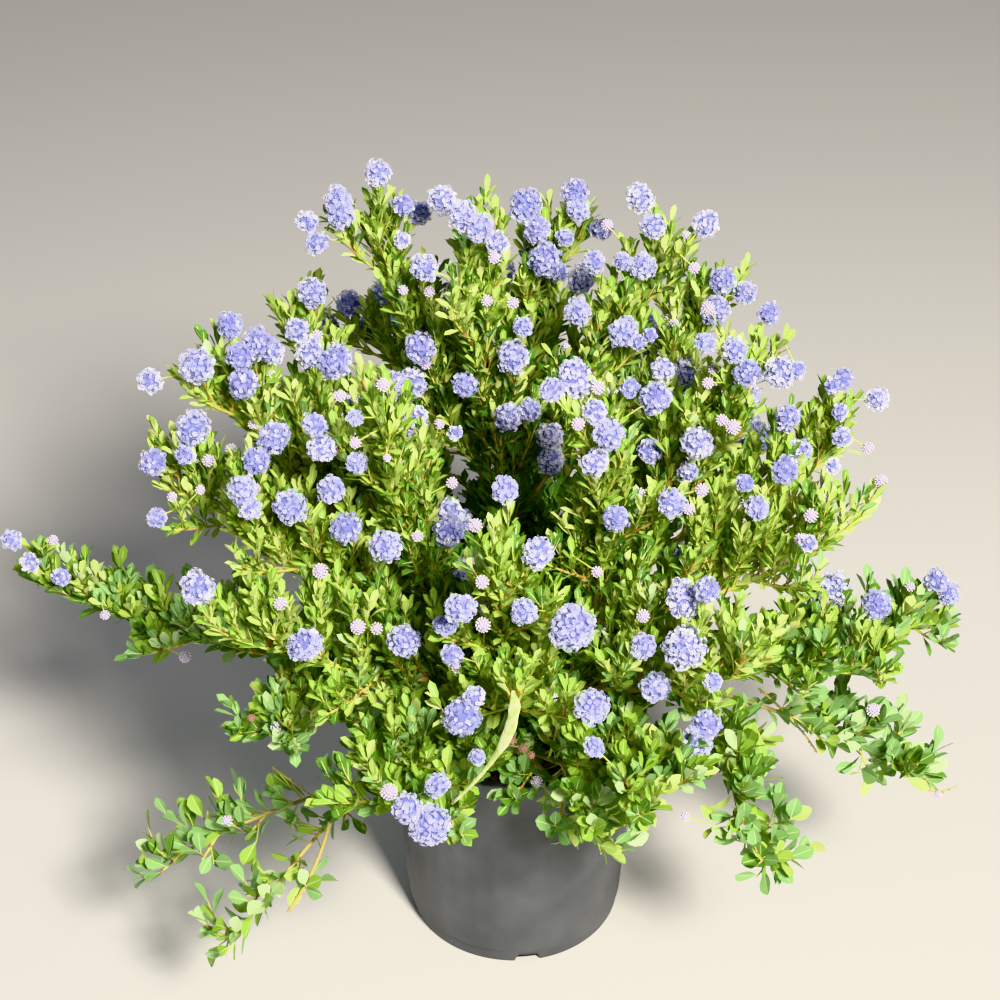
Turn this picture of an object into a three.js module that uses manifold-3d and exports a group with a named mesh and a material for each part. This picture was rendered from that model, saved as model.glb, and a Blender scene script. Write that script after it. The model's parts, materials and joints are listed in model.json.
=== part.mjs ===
// California lilac in a nursery pot: a spreading evergreen shrub with a short hidden stem, twelve boughs,
// and masses of glossy foliage whose shoots end in round powder-blue flower heads.
// Millimetres, +Z up. The origin is the centre of the flat underside of the pot.
import * as THREE from "three";
import { mergeVertices } from "three/addons/utils/BufferGeometryUtils.js";
import Module from "manifold-3d";

const wasm = await Module();
wasm.setup();

// ---- Driving dimensions ----

const GAP = 0.3; // between pieces that touch
const CLEARANCE = 0.36; // how far faces are moved out where a neighbour is cut clear, a little over the gap
const ROOM = 5; // kept between a twig or flower head and the middle of any limb of another piece
const SPOT_STEP = 5; // spacing of the points that stand for a limb
const AT_TIP = 0.999; // a ring farther along its limb than this share is the tip's ring
const MERGE = 1e-4; // corners nearer than this are one corner
const UP = new THREE.Vector3(0, 0, 1);

const POT = {
  height: 280,
  wallRadius: 136, // outside, just under the lip
  footRadius: 119, // outside, at the ground
  wall: 2.6,
  floor: 4,
  lipHeight: 20,
  lipOut: 6.5, // how far the lip stands out of the wall
  footBand: 16, // height of the plain band that is set in at the foot
  footInset: 2,
  bevel: 1.5,
  sides: 30,
  slots: 4, // drain slots, cut through the foot and the edge of the floor
  slotWidth: 28,
  slotHeight: 9,
  slotDepth: 18,
  slotOvershoot: 8, // how far a slot's cutter stands out of the foot
  firstSlotAzimuth: -83, // degrees
};

const SOIL = { top: 252, seatRadius: 26, edgeDrop: 7 };

const TRUNK = { flare: 21, waist: 13, head: 15, headHeight: 320, lean: 4, sides: 10, lowTier: 286 };

// The trunk's outline from foot to head: [share of the way from waist to flare or head, share of its height].
const FLARE_OUTLINE = [[1, 0], [0.3, 0.16], [0, 0.4]];
const HEAD_OUTLINE = [[0, 0.72], [1, 1]];
const DOME = { shoulder: 0.72, rise: 0.6, top: 0.8 }; // of the head's radius

// The splay is the angle above level, in degrees, at which a bough leaves the trunk. The run is how far it
// keeps that direction, as a share of its length.
const BOUGH = { base: 5, tip: 4, sides: 6, steps: 3, run: 0.42 };
const SPLAY = { leader: 88, high: 36, low: 12 };

const GIRTH = { high: 1, low: 0.65 }; // how thick the boughs and stems of a tier are, as a share

// A stem whose tip is higher than its fork by more than "rising" curves up. The others hang at their ends.
const STEM = { base: 4, tip: 2.2, sides: 3, steps: 4, sink: 2.4, rise: -0.1, droop: 0.1, rising: 60 };

// Side twigs leave a mass's stem between these shares of its length, each a third of a turn further round.
const TWIG = { count: 4, first: 0.3, last: 0.88, base: 1.9, tip: 1.5, sides: 3, steps: 2, curl: 0.12 };
const OPENING = { first: 58, last: 40 }; // degrees between a twig and its stem
const SHORTENING = 0.35; // how much shorter the last twig is than the first
const LENGTH_SPREAD = { least: 0.9, more: 0.2 };
const TWIG_LENGTHS = [1, 0.75, 0.5]; // a twig with no room for its whole length is made shorter
const LIFT = 0.25; // how far a twig turns up towards the light

// The keel is a leaf's deepest point, near its stalk.
const LEAF = { length: 74, width: 42, thickness: 1.6, widest: 0.6, keel: 0.15, sink: 0.4, facing: 0.8 };
const LEAF_OPENINGS = [52, 34, 70]; // degrees between a leaf and its shoot, tried in this order
const TWIG_LEAVES = [0.42, 0.68, 0.92]; // shares of a twig's length
const STEM_LEAVES = [0.5, 0.7, 0.9]; // shares of a stem's length
const CROWN_HEART = new THREE.Vector3(0, 0, 400); // leaves turn their upper faces away from here
const SPACE_HEART = 0.68; // the middle of a mass's space, as a share of its stem's length

const HEAD = { radius: 18, stretch: 1.12, sink: 4, spread: { least: 0.85, more: 0.25 } };

// One entry for each bough: its tier, and its tip's azimuth in degrees, reach from the pot's axis and height.
// Each of its masses is [name, azimuth of its tip, reach, height, length of its longest twig, blooms], where
// blooms is the share of its shoots that end in a flower head.
const HIGH = "high";
const LOW = "low";
const BOUGHS = [
  { name: "leader", tier: HIGH, azimuth: 100, reach: 20, height: 500, masses: [
    ["top_left", 152, 162, 796, 108, 1],
    ["top_middle", 165, 50, 816, 100, 1],
    ["top_right", 28, 164, 766, 94, 1],
  ] },
  { name: "left", tier: HIGH, azimuth: -175, reach: 120, height: 480, masses: [
    ["upper_left", -171, 292, 698, 106, 1],
    ["left", -168, 346, 602, 114, 1],
    ["rear_left", 150, 256, 644, 108, 0.8],
  ] },
  { name: "right", tier: HIGH, azimuth: -5, reach: 120, height: 480, masses: [
    ["upper_right", -11, 218, 692, 100, 1],
    ["right", -4, 320, 614, 98, 1],
    ["rear_right", 40, 240, 662, 102, 0.8],
  ] },
  { name: "front_left", tier: HIGH, azimuth: -130, reach: 125, height: 460, masses: [
    ["brow_left", -128, 206, 728, 104, 0.8],
    ["shoulder_left", -151, 306, 608, 110, 1],
  ] },
  { name: "front_right", tier: HIGH, azimuth: -52, reach: 125, height: 460, masses: [
    ["brow_right", -66, 200, 735, 104, 1],
    ["shoulder_right", -30, 334, 604, 108, 1],
  ] },
  { name: "front", tier: HIGH, azimuth: -90, reach: 145, height: 420, masses: [
    ["brow", -93, 290, 645, 104, 0.8],
    ["cheek_left", -137, 350, 550, 112, 0.8],
    ["cheek_right", -52, 340, 532, 110, 1],
    ["face", -90, 335, 550, 106, 1],
  ] },
  { name: "back", tier: HIGH, azimuth: 90, reach: 130, height: 460, masses: [
    ["back_high", 80, 190, 716, 108, 0.8],
    ["back_left", 120, 310, 565, 108, 0.6],
    ["back_right", 64, 305, 565, 108, 0.6],
  ] },
  { name: "low_front", tier: LOW, azimuth: -88, reach: 165, height: 352, masses: [
    ["chin", -113, 328, 399, 108, 1],
    ["chin_right", -63, 328, 420, 108, 0.8],
    ["over_pot", -66, 222, 250, 52, 0],
  ] },
  { name: "low_left", tier: LOW, azimuth: -168, reach: 170, height: 350, masses: [
    ["arm_left", 180, 500, 437, 62, 0.8],
    ["skirt_left", -134, 322, 420, 100, 0.2],
  ] },
  { name: "trailing", tier: LOW, azimuth: -136, reach: 212, height: 290, masses: [
    ["trail_left", -153, 418, 210, 38, 0],
    ["trail_low", -136.5, 400, 178, 40, 0],
  ] },
  { name: "low_right", tier: LOW, azimuth: -22, reach: 170, height: 360, masses: [
    ["arm_right", -1, 437, 380, 56, 0.6],
    ["spray_right", -20, 384, 416, 66, 0.4],
    ["trail_right", -18, 440, 284, 30, 0],
    ["droop_right", -44, 355, 262, 52, 0],
  ] },
  { name: "low_back", tier: LOW, azimuth: 92, reach: 160, height: 362, masses: [
    ["skirt_back_left", 135, 355, 425, 110, 0.4],
    ["skirt_back_right", 48, 355, 425, 110, 0.4],
  ] },
];

// ---- Materials ----

const COLOURS = {
  pot: { color: 0x3f4244, roughness: 0.55, metalness: 0 },
  soil: { color: 0x3a2c20, roughness: 0.95, metalness: 0 },
  bark: { color: 0x6b5a3c, roughness: 0.85, metalness: 0 },
  foliage: { color: 0x6f9e1f, roughness: 0.45, metalness: 0 },
};
const paint = (slot) => new THREE.MeshStandardMaterial(COLOURS[slot]);

// ---- Solids ----

// A closed geometry as a solid that can be joined and cut.
function solidOf(geometry) {
  const bare = new THREE.BufferGeometry();
  bare.setAttribute("position", geometry.getAttribute("position"));
  bare.setIndex(geometry.getIndex());
  const merged = mergeVertices(bare, MERGE);
  return new wasm.Manifold(
    new wasm.Mesh({
      numProp: 3,
      vertProperties: new Float32Array(merged.getAttribute("position").array),
      triVerts: new Uint32Array(merged.getIndex().array),
    }),
  );
}

// The largest body of a solid, so that a scrap left by a cut is dropped.
function largestBody(solid) {
  return solid.decompose().reduce((a, b) => (b.volume() > a.volume() ? b : a));
}

function meshOf(name, slot, solid) {
  const { vertProperties, triVerts } = solid.getMesh();
  const geometry = new THREE.BufferGeometry();
  geometry.setAttribute("position", new THREE.BufferAttribute(new Float32Array(vertProperties), 3));
  geometry.setIndex(new THREE.BufferAttribute(new Uint32Array(triVerts), 1));
  geometry.computeVertexNormals();
  const mesh = new THREE.Mesh(geometry, paint(slot));
  mesh.name = name;
  return mesh;
}

// The corners of a solid.
function cornersOf(solid) {
  const { vertProperties } = solid.getMesh();
  return Array.from({ length: vertProperties.length / 3 }, (_, i) =>
    new THREE.Vector3().fromArray(vertProperties, i * 3),
  );
}

const radians = THREE.MathUtils.degToRad;

// The point at an azimuth in degrees, a distance from the pot's axis, and a height.
function around(azimuth, reach, height) {
  const turn = radians(azimuth);
  return new THREE.Vector3(reach * Math.cos(turn), reach * Math.sin(turn), height);
}

// A number from 0 to 1 that depends only on which mass, which twig and which draw it is for.
function chance(mass, twig, draw) {
  const wave = Math.sin(mass * 12.9898 + twig * 78.233 + draw * 37.719) * 43758.5453;
  return wave - Math.floor(wave);
}

// A surface of revolution from a profile of [radius, height] points that starts and ends on the axis.
function lathe(profile, sides) {
  const points = profile.map(([radius, height]) => new THREE.Vector2(radius, height));
  return new THREE.LatheGeometry(points, sides).rotateX(Math.PI / 2);
}

// The direction of a limb at a share of its length, and two directions square to it that don't twist.
function frameOn(curve, along) {
  const steep = 0.98;
  const middle = curve.getTangent(0.5).normalize();
  const level = Math.abs(middle.z) > steep ? new THREE.Vector3(1, 0, 0) : UP;
  const tangent = curve.getTangent(along).normalize();
  const reference = new THREE.Vector3().crossVectors(level, middle).normalize();
  const over = new THREE.Vector3().crossVectors(reference, tangent).normalize();
  return { tangent, over, across: new THREE.Vector3().crossVectors(tangent, over) };
}

// The direction that opens by some degrees from a three-sided limb, out of the middle of one of its faces.
function openedFrom(curve, along, degrees, side) {
  const { tangent, over, across } = frameOn(curve, along);
  const turn = radians(60 + 120 * side);
  return tangent
    .multiplyScalar(Math.cos(radians(degrees)))
    .addScaledVector(over, Math.sin(radians(degrees)) * Math.cos(turn))
    .addScaledVector(across, Math.sin(radians(degrees)) * Math.sin(turn));
}

// The sizes of a limb that is as thick as its tier's are.
function sizesOn(tier, sizes) {
  return { ...sizes, base: sizes.base * GIRTH[tier], tip: sizes.tip * GIRTH[tier] };
}

// A tapering limb: a cylinder whose rings are carried along a curve. To cut neighbours clear of a limb,
// the same limb is made with every face moved out by what it is grown by.
function limb(curve, { base, tip, sides, steps }, grown = 0) {
  const wider = grown / Math.cos(Math.PI / sides);
  const geometry = new THREE.CylinderGeometry(tip + wider, base + wider, 1, sides, steps);
  const position = geometry.getAttribute("position");
  for (let i = 0; i < position.count; i++) {
    const along = position.getY(i) + 0.5;
    const { tangent, over, across } = frameOn(curve, along);
    const beyond = along > AT_TIP ? grown : 0;
    const point = curve
      .getPoint(along)
      .addScaledVector(tangent, beyond)
      .addScaledVector(across, position.getX(i))
      .addScaledVector(over, position.getZ(i));
    position.setXYZ(i, point.x, point.y, point.z);
  }
  return solidOf(geometry);
}

// A leaf of six faces: a kite that is flat above and has a keel below, widest beyond the middle.
function leaf(root, direction, upper) {
  const side = new THREE.Vector3().crossVectors(direction, upper).normalize();
  const face = new THREE.Vector3().crossVectors(side, direction);
  const at = (along, across, above) =>
    root.clone().addScaledVector(direction, along).addScaledVector(side, across).addScaledVector(face, above);
  const { length, width, thickness, widest, keel } = LEAF;
  const corners = [
    at(0, 0, 0),
    at(widest * length, -width / 2, 0),
    at(length, 0, 0),
    at(widest * length, width / 2, 0),
    at(keel * length, 0, -thickness),
  ];
  const geometry = new THREE.BufferGeometry().setFromPoints(corners);
  geometry.setIndex([0, 3, 1, 1, 3, 2, 0, 1, 4, 1, 2, 4, 2, 3, 4, 3, 0, 4]);
  return solidOf(geometry);
}

// A flower head: a ball of twenty faces, a little longer along its shoot.
function flowerHead(centre, direction, radius) {
  const geometry = new THREE.IcosahedronGeometry(radius, 0);
  geometry.scale(1, 1, HEAD.stretch);
  geometry.applyQuaternion(new THREE.Quaternion().setFromUnitVectors(UP, direction));
  geometry.translate(centre.x, centre.y, centre.z);
  return solidOf(geometry);
}

// ---- Pot, soil and trunk ----

// The outside radius of the pot's wall at a height.
function potRadius(height) {
  return POT.footRadius + ((POT.wallRadius - POT.footRadius) * height) / POT.height;
}

function pot() {
  const { height, wall, floor, lipHeight, lipOut, footBand, footInset, footRadius, bevel } = POT;
  const lipFoot = height - lipHeight;
  const shell = [
    [0, 0],
    [footRadius - footInset - bevel, 0],
    [footRadius - footInset, bevel],
    [potRadius(footBand) - footInset, footBand - bevel],
    [potRadius(footBand), footBand],
    [potRadius(lipFoot), lipFoot],
    [potRadius(lipFoot) + lipOut - bevel, lipFoot + bevel],
    [potRadius(height) + lipOut, height - bevel],
    [potRadius(height) + lipOut - bevel, height],
    [potRadius(height) - wall, height],
    [potRadius(floor) - footInset - wall, floor],
    [0, floor],
  ];
  let drained = solidOf(lathe(shell, POT.sides));
  for (let i = 0; i < POT.slots; i++) {
    const turn = radians(POT.firstSlotAzimuth + (360 * i) / POT.slots);
    const box = new THREE.BoxGeometry(POT.slotDepth + POT.slotOvershoot, POT.slotWidth, POT.slotHeight * 2);
    box.translate(footRadius + (POT.slotOvershoot - POT.slotDepth) / 2, 0, 0);
    box.rotateZ(turn);
    drained = drained.subtract(solidOf(box));
  }
  return meshOf("pot", "pot", drained);
}

// Potting mix: it fills the pot to below the lip and stands a little higher round the stem.
function soil() {
  const inner = (height) => potRadius(height) - POT.wall - CLEARANCE;
  const edge = SOIL.top - SOIL.edgeDrop;
  const base = POT.floor + GAP;
  const filling = [
    [0, base],
    [inner(base) - POT.footInset, base],
    [inner(edge), edge],
    [SOIL.seatRadius, SOIL.top],
    [0, SOIL.top],
  ];
  return meshOf("soil", "soil", solidOf(lathe(filling, POT.sides)));
}

// The stem's centre line, which leans a little from the soil to the fork.
const trunkFoot = new THREE.Vector3(0, 0, SOIL.top + GAP);
const trunkHead = new THREE.Vector3(-TRUNK.lean, TRUNK.lean / 2, TRUNK.headHeight);

// The trunk stands on a flat cut. Its outline is turned about the axis and then sheared to its lean.
function trunkSolid(grown) {
  const { flare, waist, head, sides } = TRUNK;
  const tall = trunkHead.z - trunkFoot.z;
  const profile = [
    [0, 0],
    ...FLARE_OUTLINE.map(([share, up]) => [waist + (flare - waist) * share + grown, tall * up]),
    ...HEAD_OUTLINE.map(([share, up]) => [waist + (head - waist) * share + grown, tall * up]),
    [head * DOME.shoulder + grown, tall + head * DOME.rise],
    [0, tall + head * DOME.top + grown],
  ];
  const shear = new THREE.Matrix4().set(
    1, 0, trunkHead.x / tall, 0,
    0, 1, trunkHead.y / tall, 0,
    0, 0, 1, trunkFoot.z,
    0, 0, 0, 1,
  );
  return solidOf(lathe(profile, sides).applyMatrix4(shear));
}

// The pot and the air in it, which foliage stays out of.
function potSpace() {
  const below = -1;
  const profile = [
    [0, below],
    [potRadius(0) + ROOM, below],
    [potRadius(POT.height) + POT.lipOut + ROOM, POT.height + ROOM],
    [0, POT.height + ROOM],
  ];
  return solidOf(lathe(profile, POT.sides));
}

// ---- Limbs ----

const quadratic = (from, via, to) => new THREE.QuadraticBezierCurve3(from, via, to);

// A bough leaves the trunk's head, or its side on the low tier, at a splay, then bends to its tip.
function boughCurve({ tier, azimuth, reach, height, name }) {
  const from = tier === LOW ? new THREE.Vector3(-TRUNK.lean / 2, 0, TRUNK.lowTier) : trunkHead;
  const to = around(azimuth, reach, height);
  const splay = radians(SPLAY[name] ?? SPLAY[tier]);
  const out = around(azimuth, Math.cos(splay), Math.sin(splay));
  return quadratic(from, from.clone().addScaledVector(out, from.distanceTo(to) * BOUGH.run), to);
}

// A mass's stem goes on from its bough's tip, set off to the side that it leans to. It rises at its end where
// its tip is well above its bough's, and hangs at its end otherwise.
function stemCurve(bough, [, azimuth, reach, height]) {
  const to = around(azimuth, reach, height);
  const fork = bough.getPoint(1);
  const along = bough.getTangent(1).normalize();
  const aside = to.clone().sub(fork).normalize();
  aside.addScaledVector(along, -aside.dot(along)).normalize();
  const from = fork.clone().addScaledVector(aside, STEM.sink).addScaledVector(along, -STEM.sink);
  const bend = height > fork.z + STEM.rising ? STEM.rise : STEM.droop;
  return quadratic(from, from.clone().lerp(to, 0.5).addScaledVector(UP, bend * from.distanceTo(to)), to);
}

// A shoot that leaves in a direction and is bent up at its end.
function shootCurve(from, direction, length) {
  const to = from.clone().addScaledVector(direction, length).addScaledVector(UP, TWIG.curl * length);
  return quadratic(from, from.clone().addScaledVector(direction, length / 2), to);
}

// ---- Room ----

// Each mass keeps to its own space, on its side of a plane between it and every other mass.
// The planes are nearer to the mass with the shorter twigs.
function insideSpace(point, own, others, margin) {
  const mine = point.distanceToSquared(own.centre) - own.longest ** 2;
  return others.every((other) => {
    const theirs = point.distanceToSquared(other.centre) - other.longest ** 2;
    return theirs - mine > 2 * margin * own.centre.distanceTo(other.centre);
  });
}

// A ball clears the pot when it is above the lip or outside it.
function clearOfPot(point, radius) {
  const outside = Math.hypot(point.x, point.y) - (POT.wallRadius + POT.lipOut);
  return point.z - radius > POT.height + ROOM || outside > radius + ROOM;
}

// A ball has room when it is inside its own mass's space, and clear of the pot and of every other limb.
function hasRoom(point, radius, own, others, limbs) {
  return (
    insideSpace(point, own, others, radius + GAP) &&
    clearOfPot(point, radius) &&
    limbs.every((spot) => spot.distanceTo(point) > radius + ROOM)
  );
}

// Points along a curve, a few millimetres apart.
function spotsOn(curve) {
  return curve.getSpacedPoints(Math.ceil(curve.getLength() / SPOT_STEP));
}

// ---- Growth ----

// The side twigs of a mass, each as the curve it follows. A twig is made shorter until it has room.
function twigCurves(stem, others, limbs) {
  const curves = [];
  for (let k = 0; k < TWIG.count; k++) {
    const share = k / (TWIG.count - 1);
    const along = TWIG.first + (TWIG.last - TWIG.first) * share;
    const opening = OPENING.first + (OPENING.last - OPENING.first) * share;
    const opened = openedFrom(stem.curve, along, opening, stem.index + k);
    const direction = opened.addScaledVector(UP, LIFT).normalize();
    const spread = LENGTH_SPREAD.least + LENGTH_SPREAD.more * chance(stem.index, k, 0);
    const whole = stem.longest * (1 - SHORTENING * share) * spread;
    const from = stem.curve.getPoint(along);
    const curve = TWIG_LENGTHS.map((part) => shootCurve(from, direction, whole * part)).find((trial) =>
      spotsOn(trial).every((spot) => hasRoom(spot, TWIG.base, stem, others, limbs)),
    );
    if (curve) curves.push(curve);
  }
  return curves;
}

// The flower heads of a mass, at the tips of its stem and twigs, wherever there is room for one.
function headsOn(stem, shoots, others, limbs) {
  const heads = [];
  shoots.forEach((curve, k) => {
    if (chance(stem.index, k, 1) >= stem.blooms) return;
    const radius = HEAD.radius * (HEAD.spread.least + HEAD.spread.more * chance(stem.index, k, 2));
    const direction = curve.getTangent(1).normalize();
    const centre = curve.getPoint(1).addScaledVector(direction, radius - HEAD.sink);
    const apart = heads.every((head) => head.centre.distanceTo(centre) > head.radius + radius);
    if (apart && hasRoom(centre, radius * HEAD.stretch, stem, others, limbs)) {
      heads.push({ centre, direction, radius });
    }
  });
  return heads;
}

// A leaf of a shoot, tried on each side of it until all of it is in the mass's space and it touches nothing.
function leafOn(curve, share, side, stem, others, keepOut) {
  const point = curve.getPoint(share);
  const upper = point.clone().sub(CROWN_HEART).normalize().multiplyScalar(LEAF.facing);
  upper.addScaledVector(curve.getTangent(share).normalize(), 1 - LEAF.facing);
  for (const opening of LEAF_OPENINGS) {
    for (let trial = 0; trial < 3; trial++) {
      const direction = openedFrom(curve, share, opening, side + trial);
      const blade = leaf(point.clone().addScaledVector(direction, -LEAF.sink), direction, upper);
      const inside = cornersOf(blade).every((corner) => insideSpace(corner, stem, others, GAP));
      if (inside && blade.intersect(keepOut).isEmpty()) return blade;
    }
  }
  return null;
}

// A mass: its stem cut clear of what was placed before, with its twigs, flower heads and leaves joined on.
function massSolid(stem, others, limbs, placed, keptClear) {
  let mass = largestBody(limb(stem.curve, stem.sizes).subtract(placed));
  const shoots = [stem.curve, ...twigCurves(stem, others, limbs)];
  for (const curve of shoots.slice(1)) mass = mass.add(limb(curve, TWIG));

  let keepOut = keptClear;
  for (const { centre, direction, radius } of headsOn(stem, shoots, others, limbs)) {
    mass = mass.add(flowerHead(centre, direction, radius));
    keepOut = keepOut.add(flowerHead(centre, UP, radius));
  }
  shoots.forEach((curve, k) => {
    const shares = k === 0 ? STEM_LEAVES : TWIG_LEAVES;
    shares.forEach((share, j) => {
      const blade = leafOn(curve, share, stem.index + k + j, stem, others, keepOut);
      if (!blade) return;
      mass = mass.add(blade);
      keepOut = keepOut.add(blade);
    });
  });
  return largestBody(mass);
}

// ---- Assembly ----

const plant = new THREE.Group();
plant.name = "california_lilac";
plant.add(pot(), soil(), meshOf("trunk", "bark", trunkSolid(0)));

const boughs = BOUGHS.map((entry) => {
  return { ...entry, curve: boughCurve(entry), sizes: sizesOn(entry.tier, BOUGH) };
});
const stems = boughs
  .flatMap(({ curve, tier, masses }) => masses.map((mass) => ({ mass, tier, curve: stemCurve(curve, mass) })))
  .map(({ mass: [name, , , , longest, blooms], tier, curve }, index) => {
    const sizes = sizesOn(tier, STEM);
    return { name, longest, blooms, curve, sizes, index, centre: curve.getPoint(SPACE_HEART) };
  });
const boughClearances = boughs.map(({ curve, sizes }) => limb(curve, sizes, CLEARANCE));
const stemClearances = stems.map(({ curve, sizes }) => limb(curve, sizes, CLEARANCE));

// Boughs start inside the trunk's head, so each is cut clear of the trunk and of the boughs before it.
let wood = trunkSolid(CLEARANCE);
boughs.forEach(({ name, curve, sizes }, i) => {
  plant.add(meshOf(`bough_${name}`, "bark", largestBody(limb(curve, sizes).subtract(wood))));
  wood = wood.add(boughClearances[i]);
});

const trunkLine = new THREE.LineCurve3(trunkFoot, trunkHead);
const woodSpots = [trunkLine, ...boughs.map(({ curve }) => curve)].flatMap(spotsOn);
const stemSpots = stems.map(({ curve }) => spotsOn(curve));
const kept = wood.add(potSpace());

let placed = boughClearances.reduce((all, one) => all.add(one));
stems.forEach((stem) => {
  const isOther = (_, i) => i !== stem.index;
  const limbs = [...woodSpots, ...stemSpots.filter(isOther).flat()];
  const keptClear = stemClearances.filter(isOther).reduce((all, one) => all.add(one), kept);
  const solid = massSolid(stem, stems.filter(isOther), limbs, placed, keptClear);
  plant.add(meshOf(`foliage_${stem.name}`, "foliage", solid));
  placed = placed.add(stemClearances[stem.index]);
});

export default plant;
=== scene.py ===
"""The looks of a California lilac in its nursery pot.

Sizes are in millimetres and turned to metres where a mesh is made. The shrub grows here by the same rule as
its solids do: twelve boughs, the masses' stems and their side twigs. It is then carried on to branchlets and
fine shoots with leaves, buds, and flower heads made of single florets. The flower heads of the front view
stand at given places, and the others at the tips of shoots.
"""

import json
import math

import bpy
import numpy as np
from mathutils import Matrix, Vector

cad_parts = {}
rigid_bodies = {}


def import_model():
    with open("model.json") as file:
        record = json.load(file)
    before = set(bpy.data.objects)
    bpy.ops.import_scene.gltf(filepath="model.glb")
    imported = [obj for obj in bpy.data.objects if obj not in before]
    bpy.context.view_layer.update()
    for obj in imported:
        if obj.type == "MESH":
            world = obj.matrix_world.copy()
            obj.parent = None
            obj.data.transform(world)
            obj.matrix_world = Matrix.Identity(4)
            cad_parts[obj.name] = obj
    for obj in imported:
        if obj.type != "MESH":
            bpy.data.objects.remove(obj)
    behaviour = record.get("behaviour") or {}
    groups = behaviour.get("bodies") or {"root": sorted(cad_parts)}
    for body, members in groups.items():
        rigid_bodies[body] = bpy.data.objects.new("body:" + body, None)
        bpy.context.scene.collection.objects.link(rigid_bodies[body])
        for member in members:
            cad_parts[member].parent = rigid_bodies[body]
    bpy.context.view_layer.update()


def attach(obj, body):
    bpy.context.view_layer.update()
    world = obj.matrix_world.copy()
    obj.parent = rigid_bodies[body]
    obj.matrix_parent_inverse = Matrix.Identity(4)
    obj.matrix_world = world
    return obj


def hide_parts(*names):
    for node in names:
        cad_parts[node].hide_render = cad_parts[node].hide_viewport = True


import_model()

MM = 0.001
UP = np.array([0.0, 0.0, 1.0])
GOLDEN_ANGLE = math.pi * (3 - math.sqrt(5))
SEED = 20

# ---- The shrub's sizes, as in its solids ----

GAP = 0.3  # between solids
ROOM = 5  # that a twig keeps to the pot and to other limbs
SPOT_STEP = 5  # between the spots of a curve that are tested for room
POT = {
    "height": 280, "wall_radius": 136, "foot_radius": 119, "wall": 2.6, "floor": 4, "lip_height": 20,
    "lip_out": 6.5, "foot_band": 16, "foot_inset": 2, "slots": 4, "slot_width": 28, "slot_height": 9,
    "slot_depth": 18, "first_slot_azimuth": -83,
}
SOIL = {"top": 252, "seat_radius": 26, "edge_drop": 7}
TRUNK = {"flare": 21, "waist": 13, "head": 15, "head_height": 320, "lean": 4, "low_tier": 286}
BOUGH = {"base": 5, "tip": 4, "run": 0.42}  # the run, a share of its length, is how far it keeps to its splay
SPLAY = {"leader": 88, "high": 36, "low": 12}  # degrees above the level
# A stem and a twig are finer at their tips than in the solids.
STEM = {"base": 4, "tip": 1.5, "sink": 2.4, "rise": -0.1, "droop": 0.1, "rising": 60}
GIRTH = {"high": 1, "low": 0.65}  # how thick the boughs and stems of a tier are
TWIG = {"count": 4, "first": 0.3, "last": 0.88, "base": 1.9, "tip": 1.1, "curl": 0.12}
OPENING = {"first": 58, "last": 40}  # degrees between a stem and its twigs
SHORTENING = 0.35  # of the last twig against the first
TWIG_LENGTHS = (1, 0.75, 0.5)  # the shares of its length that a twig is tried at until it fits
LENGTH_SPREAD = (0.9, 0.2)  # the least share of a twig's length, and what chance adds
LIFT = 0.25  # towards the light
SPACE_HEART = 0.68  # the share of its stem at which a mass has its centre
HEAD = {"radius": 18, "spread": (0.85, 0.25), "sink": 4}

# Each bough: its tier, and the azimuth, reach and height of its tip. Each of its masses: the azimuth, reach
# and height of its tip, the length of its longest twig, and the share of its shoots that bloom.
HIGH, LOW = "high", "low"
BOUGHS = {
    "leader": (HIGH, 100, 20, 500, {
        "top_left": (152, 162, 796, 108, 1),
        "top_middle": (165, 50, 816, 100, 1),
        "top_right": (28, 164, 766, 94, 1),
    }),
    "left": (HIGH, -175, 120, 480, {
        "upper_left": (-171, 292, 698, 106, 1),
        "left": (-168, 346, 602, 114, 1),
        "rear_left": (150, 256, 644, 108, 0.8),
    }),
    "right": (HIGH, -5, 120, 480, {
        "upper_right": (-11, 218, 692, 100, 1),
        "right": (-4, 320, 614, 98, 1),
        "rear_right": (40, 240, 662, 102, 0.8),
    }),
    "front_left": (HIGH, -130, 125, 460, {
        "brow_left": (-128, 206, 728, 104, 0.8),
        "shoulder_left": (-151, 306, 608, 110, 1),
    }),
    "front_right": (HIGH, -52, 125, 460, {
        "brow_right": (-66, 200, 735, 104, 1),
        "shoulder_right": (-30, 334, 604, 108, 1),
    }),
    "front": (HIGH, -90, 145, 420, {
        "brow": (-93, 290, 645, 104, 0.8),
        "cheek_left": (-137, 350, 550, 112, 0.8),
        "cheek_right": (-52, 340, 532, 110, 1),
        "face": (-90, 335, 550, 106, 1),
    }),
    "back": (HIGH, 90, 130, 460, {
        "back_high": (80, 190, 716, 108, 0.8),
        "back_left": (120, 310, 565, 108, 0.6),
        "back_right": (64, 305, 565, 108, 0.6),
    }),
    "low_front": (LOW, -88, 165, 352, {
        "chin": (-113, 328, 399, 108, 1),
        "chin_right": (-63, 328, 420, 108, 0.8),
        "over_pot": (-66, 222, 250, 52, 0),
    }),
    "low_left": (LOW, -168, 170, 350, {
        "arm_left": (180, 500, 437, 62, 0.8),
        "skirt_left": (-134, 322, 420, 100, 0.2),
    }),
    "trailing": (LOW, -136, 212, 290, {
        "trail_left": (-153, 418, 210, 38, 0),
        "trail_low": (-136.5, 400, 178, 40, 0),
    }),
    "low_right": (LOW, -22, 170, 360, {
        "arm_right": (-1, 437, 380, 56, 0.6),
        "spray_right": (-20, 384, 416, 66, 0.4),
        "trail_right": (-18, 440, 284, 30, 0),
        "droop_right": (-44, 355, 262, 52, 0),
    }),
    "low_back": (LOW, 92, 160, 362, {
        "skirt_back_left": (135, 355, 425, 110, 0.4),
        "skirt_back_right": (48, 355, 425, 110, 0.4),
    }),
}

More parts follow.
